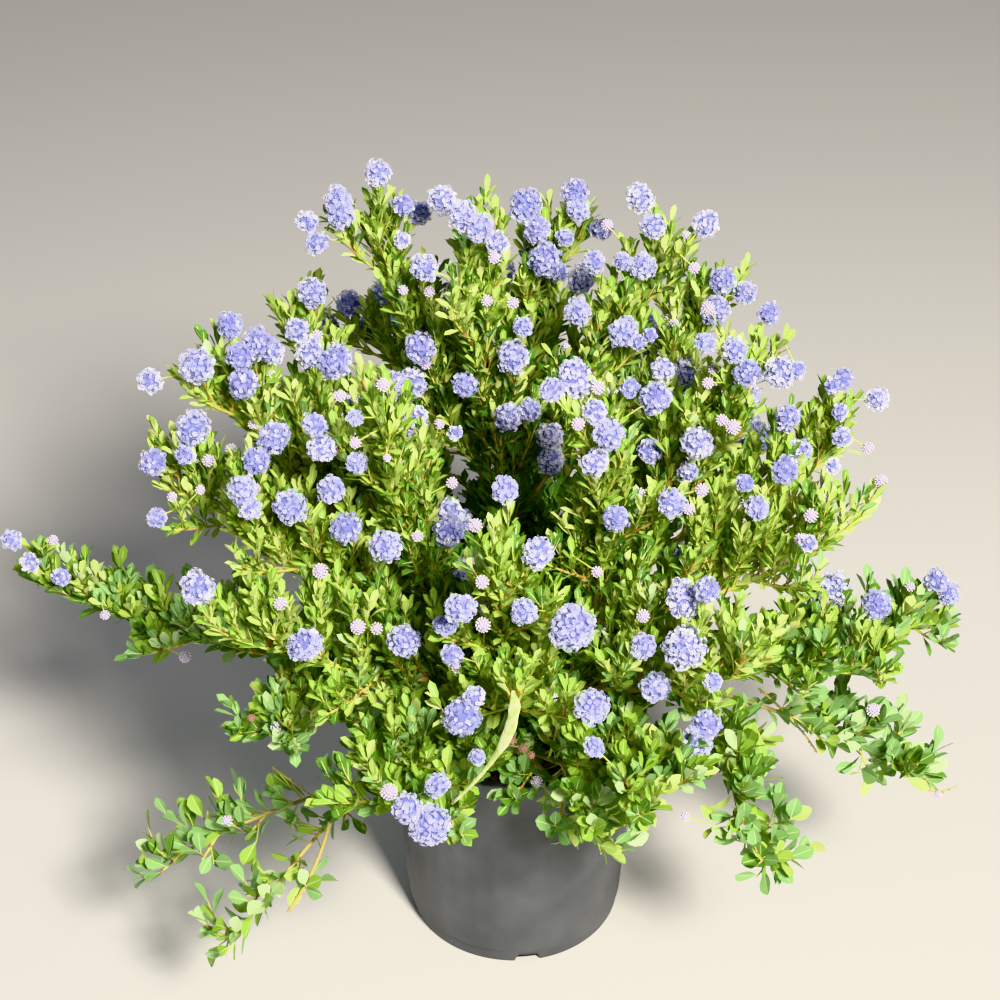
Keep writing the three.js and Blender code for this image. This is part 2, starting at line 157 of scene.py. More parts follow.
# Foliage is made in five sections, each of the masses of a few boughs.
SECTIONS = {
    "top": ("leader", "back"),
    "left": ("left", "front_left"),
    "right": ("right", "front_right"),
    "front": ("front",),
    "skirt": ("low_front", "low_left", "trailing", "low_right", "low_back"),
}

# ---- Sizes of the finer growth ----

CROWN_HEART, CROWN_RADIUS, HEART_RADIUS = np.array([0, 0, 400]), 350, 200
# Branchlets and shoots alike: the ranges of their place in a step along the axis, of their lift and of their
# length, how much shorter they get along the axis, how far they spread off their opening, and the room they
# keep to the pot and, past their foot, to limbs.
GROWTH = {"place": (0.3, 0.7), "lift": (0.5, 1.2), "length": (0.75, 1.1), "shortening": 0.6, "spread": 6,
          "pot_room": 3, "foot": 12, "limb_room": 5}
BRANCHLET = {"spacing": 17, "first": 0.06, "last": 0.96, "share": 1.1, "shortest": 34, "opening": 48,
             "base": 1.5, "tip": 0.9}
INNER_BRANCHLET = {**BRANCHLET, "spacing": 30, "first": 0.3, "last": 1, "shortest": 40}  # on the boughs
SHOOT = {"spacing": 13, "first": 0.16, "last": 0.97, "longest": 76, "shortest": 24, "opening": 40,
         "base": 1.1, "tip": 0.65, "low_lift": 0.5, "high_lift": 1.6, "curl": 0.16, "overlap": 20}
FULL_MASS = 105  # the longest twig of a mass whose shoots reach the greatest length
ON_TWIGS = 0.8  # the length of a shoot on a twig, as a share of one on the stem
LOW_GROWTH, HIGH_GROWTH = 290, 540  # growth spreads widest below the first height, least above the other
THINNING = {"below": 210, "above": 350, "most": 2.6}  # how many times further apart growth stands low down
END_BULGE = 0.6  # of a shoot's radius at its tip

LEAF = {"longest": 27, "shortest": 15, "size": (0.82, 1.1), "spacing": 4.4, "fewest": 4, "crowding": 0.85,
        "bare": (0.2, 0.15, 0.12), "low_size": 1.16, "high_size": 0.88, "inner_size": 1.3,
        "low_slender": 0.52, "high_slender": 0.36, "slender": (0.9, 1.1), "broad_below": 370,
        "low_opening": 56, "high_opening": 33, "tip_opening": 18, "opening_spread": 9, "turn_spread": 0.25,
        "low_lift": 0.55, "high_lift": 0.1, "face_up": 0.6, "face_spread": 0.14,
        "fold": (0.1, 0.5), "bend": (-0.06, 0.09), "odd_tint": 0.3,
        "overlap": 30, "over_pot": 4, "off_ground": 4}
# Leaves near the crown's heart are large and take a dark tint that is painted shade, out to these shares of
# its radius.
# The shares change by "least" low down and by up to "raise" more between two heights.
INNER = {"all": 0.58, "none": 0.94, "large": 0.6, "most": 0.9, "least": -0.14, "raise": 0.22,
         "from": 520, "to": 760}

PEDUNCLE = {"length": 9, "radius": 0.75}
HEAD_SHAPE = {"longer": 0.45, "firm": 0.6, "low_size": 1.12, "high_size": 0.93}  # the firm share has room
SECOND_HEAD = {"chance": 0.55, "aside": 1.3, "size": 0.78, "reach": 1.3, "apart": 0.7}  # beside another one
SMALL_HEAD = {"past": 0.4, "chance": 0.24, "size": (0.68, 1.04), "apart": 0.75}  # on fine shoots
SEEN_HEAD = {"sink": 0.3, "up": 0.5, "longer": 0.25}
# An umbel's reach and radius and the core that umbels stand on are shares of a head's radius.
UMBEL = {"count": 27, "fewest": 6, "spread": 0.16, "reach": 0.7, "radius": 0.28, "core": 0.76}
FLORET = {"radius": 2.15, "per_area": 1.02, "size": (0.8, 1.1), "depth": (0.86, 1.03), "spread": 0.08,
          "tilt": 0.18, "tints": (0.3, 0.45, 0.25), "own_tint": 0.45}
PETAL = {"half_turn": 0.44, "inner": 0.1, "dip": -0.1, "cup": 0.2}
BUD = {"radius": 5.5, "size": (0.7, 1.2), "past": 0.3, "chance": 0.02, "stalk": 6, "apart": 20,
       "stretch": 1.1}
BEAD = {"radius": 1.2, "size": (0.8, 1.15), "depth": (0.84, 0.95), "per_area": 1.15, "fewest": 8}

# A stem that has grown flat, and single shoots that stand out of the foliage, each on three points.
FLAT_SHOOT = {"points": ((-5, -322, 560), (6, -388, 562), (-59, -348, 449)), "thickness": 1.2,
              "ends": (1.3, 1.5), "belly": 6.6, "waves": ((0.12, 17), (0.07, 41)), "ridges": (0.26, 11)}
FLAT_SHOOT_ROOM = 16  # to the tips of leaves
SINGLE_SHOOTS = {  # with the radius at both ends and the finish
    "cut stem": (((-184, -215, 301), (-196, -228, 250), (-227, -250, 212)), 1.9, 1.7, "tan"),
    "bare end, left": (((-196, -196, 312), (-214, -204, 338), (-237, -210, 369)), 1.1, 0.8, "brown"),
    "bare end, right": (((246, -96, 372), (286, -104, 338), (309, -110, 299)), 1.3, 1.0, "tan"),
    "curled tip": (((400, -120, 278), (428, -120, 240), (455, -120, 262)), 1.0, 0.6, "tan"),
}
KNOBS = {"spacing": 7, "length": 3.2, "radius": 0.9, "opening": 50}  # dry bud scales along the bare ends

# ---- Sizes of the pot's, the mix's and the bark's relief ----

FLUTES = {"count": 36, "depth": 0.25}
MOULD_RINGS = {"depth": 0.15, "run": 9}  # the run is mm for each radian of a wave
SEAM = {"height": 0.35, "turn": 0.4}
SOIL_LUMPS = ((22, 2.2), (8, 1.3), (4, 0.8))  # the size and height of each
SOIL_SETTLED = 1.5
CHIP = {"least": (2.5, 1.2, 0.5), "most": (8, 4, 1.6), "corner": (0.6, 1.1), "flat": 1.6, "rim_room": 9,
        "height": 0.8}
BARK = {"plate": 4, "wander": 26, "lump": 9, "relief": 0.07}  # the relief is a share of a bough's radius
TRUNK_SHAPE = {"dome": 0.8, "flare": 0.2, "swell": 0.6, "lobes": 5, "lobe_depth": 0.14, "lobe_turn": 0.7,
               "relief": 1.1}

# ---- Front view ----

CAMERA = {"target": (-0.016, 0, 0.538), "distance": 2.2, "elevation": 35, "lens": 78.84, "sensor": 36}
FRAME = 1000  # the front view's width and height in px
TILT = math.radians(CAMERA["elevation"])
BACKWARD = np.array([0, -math.cos(TILT), math.sin(TILT)])
UPWARD = np.array([0, math.sin(TILT), math.cos(TILT)])
EYE_POINT = np.array(CAMERA["target"]) / MM + BACKWARD * CAMERA["distance"] / MM
FOCUS = FRAME * CAMERA["lens"] / CAMERA["sensor"]
CELL = 12  # px
IN_SIGHT = 110  # growth this many mm behind the nearest growth is still seen

# Flower heads, buds and withered heads that stand out in the front view: px across, px down and radius in px.
SEEN_HEADS = (
    (378, 173, 14), (338, 200, 15), (341, 215, 15), (308, 222, 12), (317, 243, 12), (312, 293, 16),
    (230, 325, 14), (297, 330, 14), (258, 343, 17), (240, 356, 16), (243, 383, 17), (272, 352, 14),
    (197, 366, 19), (150, 381, 14), (310, 352, 16), (335, 362, 18), (193, 428, 18), (185, 455, 11),
    (153, 462, 15), (274, 438, 17), (256, 461, 15), (315, 425, 13), (322, 448, 16), (243, 490, 17),
    (250, 508, 13), (290, 507, 18), (331, 490, 15), (346, 528, 17), (386, 546, 18), (357, 463, 12),
    (355, 418, 9), (157, 518, 11), (197, 588, 19), (305, 645, 18), (404, 641, 18), (12, 540, 11),
    (30, 563, 10), (61, 577, 10), (403, 205, 12), (420, 213, 13), (443, 200, 15), (463, 216, 16),
    (479, 228, 15), (497, 243, 13), (402, 240, 9), (525, 205, 17), (537, 230, 15), (545, 260, 18),
    (560, 273, 10), (575, 193, 15), (578, 210, 13), (565, 238, 10), (594, 262, 12), (640, 198, 15),
    (653, 226, 14), (623, 262, 10), (643, 266, 15), (425, 268, 15), (523, 327, 11), (513, 357, 17),
    (420, 348, 17), (578, 312, 15), (623, 332, 16), (638, 343, 9), (650, 335, 8), (575, 378, 19),
    (552, 390, 14), (465, 385, 14), (508, 417, 15), (530, 410, 13), (595, 412, 14), (608, 434, 18),
    (595, 463, 15), (550, 437, 15), (550, 460, 16), (655, 398, 17), (663, 370, 13), (630, 388, 10),
    (455, 433, 8), (706, 224, 14), (722, 280, 15), (745, 293, 13), (769, 313, 12), (705, 343, 11),
    (735, 350, 14), (747, 373, 15), (780, 372, 18), (797, 370, 10), (787, 418, 14), (843, 379, 11),
    (833, 386, 9), (877, 399, 13), (840, 412, 9), (842, 437, 11), (833, 466, 8), (697, 443, 18),
    (785, 470, 15), (745, 483, 10), (757, 508, 13), (808, 543, 10), (672, 503, 16), (505, 490, 15),
    (616, 518, 15), (538, 553, 17), (460, 608, 16), (445, 625, 12), (452, 655, 12), (524, 611, 15),
    (572, 627, 25), (643, 646, 14), (683, 599, 19), (707, 590, 14), (685, 648, 24), (655, 687, 17),
    (706, 725, 17), (713, 682, 10), (877, 605, 16), (936, 580, 13), (949, 594, 12), (462, 717, 21),
    (474, 697, 12), (592, 707, 20), (594, 747, 11), (477, 757, 9), (430, 824, 23), (407, 808, 17),
    (437, 785, 13),
)
SEEN_BUDS = (
    (389, 792, 9), (53, 540, 5), (105, 615, 5), (340, 396, 6), (868, 448, 6), (733, 427, 8), (320, 571, 8),
    (483, 625, 8), (482, 582, 7), (597, 572, 6), (358, 627, 8), (873, 710, 7), (702, 490, 7), (708, 308, 7),
    (387, 458, 4), (452, 483, 6), (200, 490, 5), (172, 497, 5), (685, 817, 5), (938, 795, 4), (355, 443, 6),
    (383, 385, 7), (513, 303, 6), (694, 268, 6), (598, 388, 7), (708, 383, 6), (578, 424, 7), (722, 420, 6),
    (607, 225, 6), (494, 258, 6), (185, 657, 6), (643, 616, 7), (403, 290, 5),
)
SEEN_SPENT = ((511, 740, 6), (523, 748, 5), (531, 755, 4), (251, 718, 4))


# ---- Vectors and curves ----

def unit(vectors):
    """Each vector divided by its own length."""
    return vectors / np.maximum(np.linalg.norm(vectors, axis=-1, keepdims=True), 1e-12)


def turned(radius, turn, height):
    """Points at a distance from the Z axis, a turn about it in radians, and a height."""
    return np.stack(np.broadcast_arrays(radius * np.cos(turn), radius * np.sin(turn), height), axis=-1)


def around(azimuth, reach, height):
    """The point at an azimuth in degrees, a distance from the pot's axis, and a height."""
    return turned(reach, math.radians(azimuth), height)


def full_turn(count):
    """Angles in radians that are evenly spaced round a full turn."""
    return np.arange(count) * math.tau / count


def draws(*use):
    """Random numbers of their own for one use, the same in every run."""
    return np.random.default_rng([SEED, *use])


def chance(mass, twig, draw):
    """A number from 0 to 1 that depends only on which mass, which twig and which draw it is for."""
    wave = math.sin(mass * 12.9898 + twig * 78.233 + draw * 37.719) * 43758.5453
    return wave - math.floor(wave)


def smooth_step(low, high, x):
    """Rises from 0 to 1 between low and high with level ends: 3t^2 - 2t^3."""
    t = np.clip((x - low) / (high - low), 0, 1)
    return t * t * (3 - 2 * t)


def points_on(curves, shares):
    """Points of quadratic curves (one or many, each three control points) at shares of their parameter."""
    t = np.asarray(shares, float)[:, None]
    start, via, end = (curves[..., None, i, :] for i in range(3))
    return (1 - t) ** 2 * start + 2 * t * (1 - t) * via + t**2 * end


def directions_on(curves, shares):
    """Unit tangents of quadratic curves at shares of their parameter."""
    t = np.asarray(shares, float)[:, None]
    start, via, end = (curves[..., None, i, :] for i in range(3))
    return unit((1 - t) * (via - start) + t * (end - via))


def length_of(curve):
    """A curve's length, from the chords between 33 of its points."""
    return np.linalg.norm(np.diff(points_on(curve, np.linspace(0, 1, 33)), axis=0), axis=1).sum()


def spots_on(curve):
    """Points evenly spaced along a curve, a few millimetres apart."""
    fine = points_on(curve, np.linspace(0, 1, 201))
    lengths = np.concatenate([[0], np.cumsum(np.linalg.norm(np.diff(fine, axis=0), axis=1))])
    wanted = np.linspace(0, lengths[-1], math.ceil(lengths[-1] / SPOT_STEP) + 1)
    return np.stack([np.interp(wanted, lengths, fine[:, i]) for i in range(3)], axis=1)


def square_to(curves, shares):
    """Tangent, over and across: two directions square to each curve that don't twist along it."""
    middle = directions_on(curves, [0.5])
    level = np.where(np.abs(middle[..., 2:]) > 0.98, [1.0, 0, 0], UP)
    along = directions_on(curves, shares)
    over = unit(np.cross(np.broadcast_to(unit(np.cross(level, middle)), along.shape), along))
    return along, over, np.cross(along, over)


def spokes_on(curves, shares, sides):
    """Tangents of curves at shares of their parameter, and at each the spokes of a wheel square to it."""
    along, over, across = square_to(curves, shares)
    turn = full_turn(sides)[:, None]
    return along, over[..., None, :] * np.cos(turn) + across[..., None, :] * np.sin(turn)


def opened_from(curve, share, degrees, turn):
    """The direction that opens by an angle from a curve, on the side given by a turn in radians."""
    along, over, across = (vectors[0] for vectors in square_to(curve, [share]))
    open_by = math.radians(degrees)
    sideways = over * math.cos(turn) + across * math.sin(turn)
    return along * math.cos(open_by) + sideways * math.sin(open_by)


def rising_curve(start, direction, length, curl):
    """A shoot that leaves in a direction and is bent up at its end by a share of its length."""
    return np.array([start, start + direction * length / 2, start + (direction + UP * curl) * length])


def in_view(points):
    """Where points in mm are seen in the front view, in px, and how far they are along the camera's axis."""
    off = points - EYE_POINT
    distance = -off @ BACKWARD
    across, down = FOCUS * off[..., 0] / distance, -FOCUS * (off @ UPWARD) / distance
    return np.stack([FRAME / 2 + across, FRAME / 2 + down], axis=-1), distance


def seen_at(across, down, distance):
    """The point in mm that is seen at a px of the front view, at a distance along the camera's axis."""
    right, up = (across - FRAME / 2) / FOCUS, (FRAME / 2 - down) / FOCUS
    return EYE_POINT + distance * (np.array([right, 0, 0]) + up * UPWARD - BACKWARD)


# ---- Limbs, by the rule of the solids ----

TRUNK_FOOT = np.array([0, 0, SOIL["top"] + GAP])
TRUNK_HEAD = np.array([-TRUNK["lean"], TRUNK["lean"] / 2, TRUNK["head_height"]])


def bough_curve(name, tier, azimuth, reach, height):
    """A bough leaves the trunk's head, or its side on the low tier, at a splay, then bends to its tip."""
    start = np.array([-TRUNK["lean"] / 2, 0, TRUNK["low_tier"]]) if tier == LOW else TRUNK_HEAD
    end = around(azimuth, reach, height)
    splay = math.radians(SPLAY.get(name, SPLAY[tier]))
    out = around(azimuth, math.cos(splay), math.sin(splay))
    return np.array([start, start + out * np.linalg.norm(end - start) * BOUGH["run"], end])


def stem_curve(bough, azimuth, reach, height):
    """A mass's stem goes on from its bough's tip: it rises at its end, or hangs where its tip is low."""
    end = around(azimuth, reach, height)
    fork = bough[2]
    along = directions_on(bough, [1])[0]
    aside = unit(end - fork)
    aside = unit(aside - along * (aside @ along))
    start = fork + (aside - along) * STEM["sink"]
    bend = STEM["rise"] if height > fork[2] + STEM["rising"] else STEM["droop"]
    return np.array([start, (start + end) / 2 + UP * bend * np.linalg.norm(end - start), end])


def in_space(points, own, others, margin):
    """For each point, whether it is on the mass's own side of the planes between it and every other mass."""
    mine = ((points - own["centre"]) ** 2).sum(-1) - own["longest"] ** 2
    inside = np.ones(len(points), bool)
    for other in others:
        theirs = ((points - other["centre"]) ** 2).sum(-1) - other["longest"] ** 2
        inside &= theirs - mine > 2 * margin * np.linalg.norm(own["centre"] - other["centre"])
    return inside


def deep_inside(points):
    """For each point, whether it is so near the crown's heart that the growth of all masses mingles there."""
    return np.linalg.norm(points - CROWN_HEART, axis=-1) < HEART_RADIUS


def clear_of_pot(points, radius):
    """For each point, whether a ball round it is above the lip or outside the pot."""
    outside = np.hypot(points[:, 0], points[:, 1]) - (POT["wall_radius"] + POT["lip_out"])
    return (points[:, 2] - radius > POT["height"] + ROOM) | (outside > radius + ROOM)


def has_room(points, radius, stem):
    """Whether balls round the points are in the mass's space and clear of the pot and of other limbs."""
    gaps = np.linalg.norm(points[:, None] - stem["limbs"][None], axis=-1)
    clear = in_space(points, stem, stem["others"], radius + GAP) & clear_of_pot(points, radius)
    return bool(clear.all() and (gaps > radius + ROOM).all())


def twig_curves(stem):
    """The side twigs of a mass, a third of a turn apart, lifted to the light and shortened until they fit."""
    curves = []
    for k in range(TWIG["count"]):
        share = k / (TWIG["count"] - 1)
        along = TWIG["first"] + (TWIG["last"] - TWIG["first"]) * share
        opening = OPENING["first"] + (OPENING["last"] - OPENING["first"]) * share
        side = math.radians(60 + 120 * (stem["index"] + k))
        direction = unit(opened_from(stem["curve"], along, opening, side) + UP * LIFT)
        least, spread = LENGTH_SPREAD
        whole = stem["longest"] * (1 - SHORTENING * share) * (least + spread * chance(stem["index"], k, 0))
        start = points_on(stem["curve"], [along])[0]
        for part in TWIG_LENGTHS:
            curve = rising_curve(start, direction, whole * part, TWIG["curl"])
            if has_room(spots_on(curve), TWIG["base"], stem):
                curves.append(curve)
                break
    return curves


def grow_limbs():
    """All boughs, and for each mass its stem, its twigs, and the limbs that its growth stays clear of."""
    boughs = {name: bough_curve(name, *entry[:4]) for name, entry in BOUGHS.items()}
    stems = []
    for name, entry in BOUGHS.items():
        for mass, (azimuth, reach, height, longest, blooms) in entry[4].items():
            curve = stem_curve(boughs[name], azimuth, reach, height)
            stems.append({
                "name": mass, "bough": name, "parent": boughs[name], "index": len(stems), "curve": curve,
                "girth": GIRTH[entry[0]], "longest": longest, "blooms": blooms,
                "centre": points_on(curve, [SPACE_HEART])[0]})
    trunk = np.array([TRUNK_FOOT, (TRUNK_FOOT + TRUNK_HEAD) / 2, TRUNK_HEAD])
    wood = np.concatenate([spots_on(curve) for curve in [trunk, *boughs.values()]])
    spots = [spots_on(stem["curve"]) for stem in stems]
    for stem in stems:
        stem["others"] = [other for other in stems if other is not stem]
        stem["limbs"] = np.concatenate([wood] + [s for i, s in enumerate(spots) if i != stem["index"]])
        stem["twigs"] = twig_curves(stem)
    return boughs, stems


# ---- Finer growth ----

def between(low, high, height):
    """A value that goes smoothly from that of low growth to that of high growth with the height."""
    return low + (high - low) * smooth_step(LOW_GROWTH, HIGH_GROWTH, height)


def thinned(height):
    """How many times further apart growth stands at a height than high on the shrub."""
    return 1 + (THINNING["most"] - 1) * (1 - smooth_step(THINNING["below"], THINNING["above"], height))


def fits(curve, stem):
    """Whether a side shoot stays in its mass's space, clear of the pot and, past its foot, of other limbs."""
    spots = points_on(curve, np.linspace(0.25, 1, 7))
    inside = in_space(spots, stem, stem["others"], -SHOOT["overlap"]) | deep_inside(spots)
    if not (inside & clear_of_pot(spots, GROWTH["pot_room"])).all():
        return False
    outer = spots[np.linalg.norm(spots - curve[0], axis=-1) > GROWTH["foot"]]
    return bool(np.linalg.norm(outer[:, None] - stem["limbs"][None], axis=-1).min() > GROWTH["limb_room"])


def side_growth(axis, sizes, longest, stem, rng):
    """Side shoots along an axis: their curves, and the shares of the axis that they stand at.

    They are a golden angle apart and turned up to the light. One that doesn't fit is made shorter, and then
    left out.
    """
    first, last = sizes["first"], sizes["last"]
    spacing = sizes["spacing"] * thinned(points_on(axis, [0.5])[0, 2])
    count = max(2, round(length_of(axis) * (last - first) / spacing))
    turns = rng.uniform(0, math.tau) + np.arange(count) * GOLDEN_ANGLE
    shares = first + (last - first) * (np.arange(count) + rng.uniform(*GROWTH["place"], count)) / count
    grown = []
    for share, turn in zip(shares, turns):
        start = points_on(axis, [share])[0]
        lift = between(SHOOT["low_lift"], SHOOT["high_lift"], start[2]) * rng.uniform(*GROWTH["lift"])
        opening = sizes["opening"] + rng.normal(0, GROWTH["spread"])
        direction = unit(opened_from(axis, share, opening, turn) + UP * lift)
        length = longest * (1 - GROWTH["shortening"] * share) * rng.uniform(*GROWTH["length"])
        for part in TWIG_LENGTHS:
            curve = rising_curve(start, direction, max(length * part, sizes["shortest"]), SHOOT["curl"])
            if fits(curve, stem):
                grown.append((curve, share))
                break
    return grown


def growth_of(stem, rng):
    """A mass's branchlets, on its bough and stem, and the fine shoots of its stem, twigs and branchlets."""
    reach = stem["longest"] * BRANCHLET["share"]
    fine = SHOOT["longest"] * stem["longest"] / FULL_MASS
    branchlets = [curve for curve, _ in side_growth(stem["parent"], INNER_BRANCHLET, reach, stem, rng)]
    branchlets += [curve for curve, _ in side_growth(stem["curve"], BRANCHLET, reach, stem, rng)]
    shoots = side_growth(stem["curve"], SHOOT, fine, stem, rng)
    for axis in stem["twigs"] + branchlets:
        shoots += side_growth(axis, SHOOT, fine * ON_TWIGS, stem, rng)
    return branchlets, shoots


def leaves_on(curve, bare, rng):
    """Alternate leaves of a shoot past its bare foot: roots, directions, upper sides, lengths.

    They close up towards its tip and open less there. They are longest in its middle, by part of a sine wave.
    """
    height = curve[0][2]
    count = round(max(LEAF["fewest"], length_of(curve) * (1 - bare) / LEAF["spacing"]) / thinned(height))
    ripe = ((np.arange(count) + 0.5) / count) ** LEAF["crowding"]
    share = bare + (1 - bare) * ripe
    along, over, across = square_to(curve, share)
    turn = rng.uniform(0, math.tau) + np.arange(count) * GOLDEN_ANGLE
    turn = (turn + rng.normal(0, LEAF["turn_spread"], count))[:, None]
    widest = between(LEAF["low_opening"], LEAF["high_opening"], height)
    opening = widest + (LEAF["tip_opening"] - widest) * ripe + rng.normal(0, LEAF["opening_spread"], count)
    opening = np.radians(opening)[:, None]
    sideways = over * np.cos(turn) + across * np.sin(turn)
    lift = UP * between(LEAF["low_lift"], LEAF["high_lift"], height)
    direction = unit(along * np.cos(opening) + sideways * np.sin(opening) + lift)
    upper = along + UP * LEAF["face_up"] + rng.normal(0, LEAF["face_spread"], (count, 3))
    growth = np.sin(math.pi * (0.2 + 0.62 * ripe)) ** 0.8
    length = LEAF["shortest"] + (LEAF["longest"] - LEAF["shortest"]) * growth
    length = length * between(LEAF["low_size"], LEAF["high_size"], height)
    return points_on(curve, share), direction, upper, length * rng.uniform(*LEAF["size"], count)


def heads_of(stem, shoots, heads, nearest, rng):
    """Adds flower heads to a mass's own: centres, directions, radii, the tips that carry them, and stretches.

    The first stand at the tips of the stem and its twigs, as on the solids, some with a second one beside
    them. The others are smaller and stand on outer fine shoots. None is added in sight of the front view,
    where every head is given by its place.
    """

    def place(tip, direction, radius, reach, apart):
        centre = tip + direction * reach
        clear = all(np.linalg.norm(centre - head[0]) > apart * (radius + head[2]) for head in heads)
        firm = radius * HEAD_SHAPE["firm"]
        if clear and not in_sight(centre, nearest) and has_room(centre[None], firm, stem):
            stretch = 1 + HEAD_SHAPE["longer"] * rng.random() ** 1.5
            radius = radius * between(HEAD_SHAPE["low_size"], HEAD_SHAPE["high_size"], centre[2])
            heads.append((centre, direction, radius, tip, stretch))

    least, spread = HEAD["spread"]
    for k, axis in enumerate([stem["curve"], *stem["twigs"]]):
        if chance(stem["index"], k, 1) < stem["blooms"]:
            tip, direction = points_on(axis, [1])[0], directions_on(axis, [1])[0]
            radius = HEAD["radius"] * (least + spread * chance(stem["index"], k, 2))
            place(tip, direction, radius, radius - HEAD["sink"], 1)
            if rng.random() < SECOND_HEAD["chance"]:
                aside = opened_from(axis, 1, 90, rng.uniform(0, math.tau)) * SECOND_HEAD["aside"]
                reach = radius * SECOND_HEAD["reach"]
                place(tip, unit(direction + aside), radius * SECOND_HEAD["size"], reach, SECOND_HEAD["apart"])
    for curve, share in shoots:
        if share > SMALL_HEAD["past"] and rng.random() < stem["blooms"] * SMALL_HEAD["chance"]:
            radius = HEAD["radius"] * rng.uniform(*SMALL_HEAD["size"])
            reach = radius + PEDUNCLE["length"] * rng.random()
            place(curve[2], directions_on(curve, [1])[0], radius, reach, SMALL_HEAD["apart"])


def buds_of(stem, shoots, heads, buds, rng):
    """Adds unopened heads to a mass's own, at the tips of some fine shoots that have no flower head."""
    taken = [flower[0] for flower in heads + buds]
    for curve, share in shoots:
        if share > BUD["past"] and rng.random() < BUD["chance"] * (1 + stem["blooms"]):
            direction = directions_on(curve, [1])[0]
            radius = BUD["radius"] * rng.uniform(*BUD["size"])
            centre = curve[2] + direction * (radius + BUD["stalk"])
            if all(np.linalg.norm(centre - other) > BUD["apart"] for other in taken):
                buds.append((centre, direction, radius, curve[2], BUD["stretch"]))
                taken.append(centre)


def leaf_tips(leaves):
    """Where leaves end, from their roots, directions and lengths."""
    return leaves[0] + leaves[1] * leaves[3][:, None]


def nearest_growth(masses):
    """The front view in square cells, each with the distance to the nearest leaf tip in it or beside it."""
    spots, distance = in_view(np.concatenate([leaf_tips(mass["leaves"]) for mass in masses]))
    column, row = np.clip(spots // CELL, 0, FRAME // CELL).astype(int).T
    cells = np.full((FRAME // CELL + 3,) * 2, np.inf)
    for down in range(3):
        for across in range(3):
            np.minimum.at(cells, (row + down, column + across), distance)
    return cells[1:-1, 1:-1]


def nearest_at(across, down, nearest):
    """The distance to the nearest growth at a px of the front view."""
    row, column = (int(np.clip(px // CELL, 0, FRAME // CELL)) for px in (down, across))
    return nearest[row, column]


def in_sight(centre, nearest):
    """Whether a point isn't hidden behind growth in the front view."""
    (across, down), distance = in_view(centre)
    return bool(distance < nearest_at(across, down, nearest) + IN_SIGHT)


def give_seen(masses, flowers, kind, nearest, rng):
    """Gives each flower that is seen in the front view to the mass with the nearest tip of a shoot.

    It stands at the distance of the nearest growth there, sunk in by a share of its own radius.
    """
    tips = np.concatenate([[curve[2] for curve, _ in mass["shoots"]] for mass in masses])
    owners = np.repeat(np.arange(len(masses)), [len(mass["shoots"]) for mass in masses])
    spots, distances = in_view(tips)
    for across, down, px in flowers:
        away = nearest_at(across, down, nearest)
        if not np.isfinite(away):
            away = distances[np.linalg.norm(spots - [across, down], axis=1).argmin()]
        radius = px * away / FOCUS
        centre = seen_at(across, down, away + SEEN_HEAD["sink"] * radius)
        chosen = np.linalg.norm(tips - (centre - UP * radius), axis=1).argmin()
        direction = unit(unit(centre - tips[chosen]) + UP * SEEN_HEAD["up"])
        stretch = 1 + SEEN_HEAD["longer"] * rng.random()
        masses[owners[chosen]][kind].append((centre, direction, radius, tips[chosen], stretch))


# ---- Meshes ----

def mesh_object(name, nodes, parts, finishes):
    """Joins parts into one smoothly shaded object in metres, which stands for some CAD nodes.

    A part is its vertices in mm and a list of (faces, finish), where a finish is one number or one for each
    face.
    """
    starts = np.cumsum([0] + [len(vertices) for vertices, _ in parts[:-1]])
    vertices = np.concatenate([vertices for vertices, _ in parts]) * MM
    groups = [(faces + start, finish) for (_, surfaces), start in zip(parts, starts)
              for faces, finish in surfaces]
    corners = np.concatenate([faces.ravel() for faces, _ in groups])
    sizes = np.concatenate([np.full(len(faces), faces.shape[1]) for faces, _ in groups])
    finish = np.concatenate([np.broadcast_to(finish, len(faces)) for faces, finish in groups])
    mesh = bpy.data.meshes.new(name)
    mesh.vertices.add(len(vertices))
    mesh.vertices.foreach_set("co", vertices.astype(np.float32).ravel())
    mesh.loops.add(len(corners))
    mesh.loops.foreach_set("vertex_index", corners.astype(np.int32))
    mesh.polygons.add(len(sizes))
    mesh.polygons.foreach_set("loop_start", np.concatenate([[0], np.cumsum(sizes[:-1])]).astype(np.int32))
    mesh.polygons.foreach_set("material_index", finish.astype(np.int32))
    mesh.polygons.foreach_set("use_smooth", np.ones(len(sizes), bool))
    for material in finishes:
        mesh.materials.append(material)
    mesh.update(calc_edges=True)
    piece = bpy.data.objects.new(name, mesh)
    bpy.context.scene.collection.objects.link(piece)
    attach(piece, "root")
    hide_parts(*nodes)


def grid_faces(rows, columns):
    """Four-cornered faces of a grid of vertices, row after row, whose columns close on themselves."""
    row, column = np.meshgrid(np.arange(rows - 1), np.arange(columns), indexing="ij")
    here = row * columns + column
    beside = row * columns + (column + 1) % columns
    return np.stack([here, beside, beside + columns, here + columns], axis=-1).reshape(-1, 4)


def fan_faces(ring, centre):
    """Three-cornered faces from a closed ring of vertices to one vertex."""
    return np.stack([ring, np.roll(ring, -1), np.full(len(ring), centre)], axis=1)


def body_faces(rows, columns):
    """Faces of a closed body: a wall from ring to ring, and a fan that closes the first ring and the last.

    The vertices are the rings, from the lowest up, and then the middle of the lower and of the upper fan.
    """
    ring, count = np.arange(columns), rows * columns
    return [grid_faces(rows, columns), fan_faces(ring[::-1], count),
            fan_faces(ring + count - columns, count + 1)]


def hung_faces(rows, columns):
    """The same faces turned round, for rings that come from the highest down."""
    return [faces[:, ::-1] for faces in body_faces(rows, columns)]


def copies_of(faces, count, each):
    """The same faces for every one of a number of shapes whose vertices follow each other."""
    return (faces[None] + np.arange(count)[:, None, None] * each).reshape(-1, faces.shape[1])


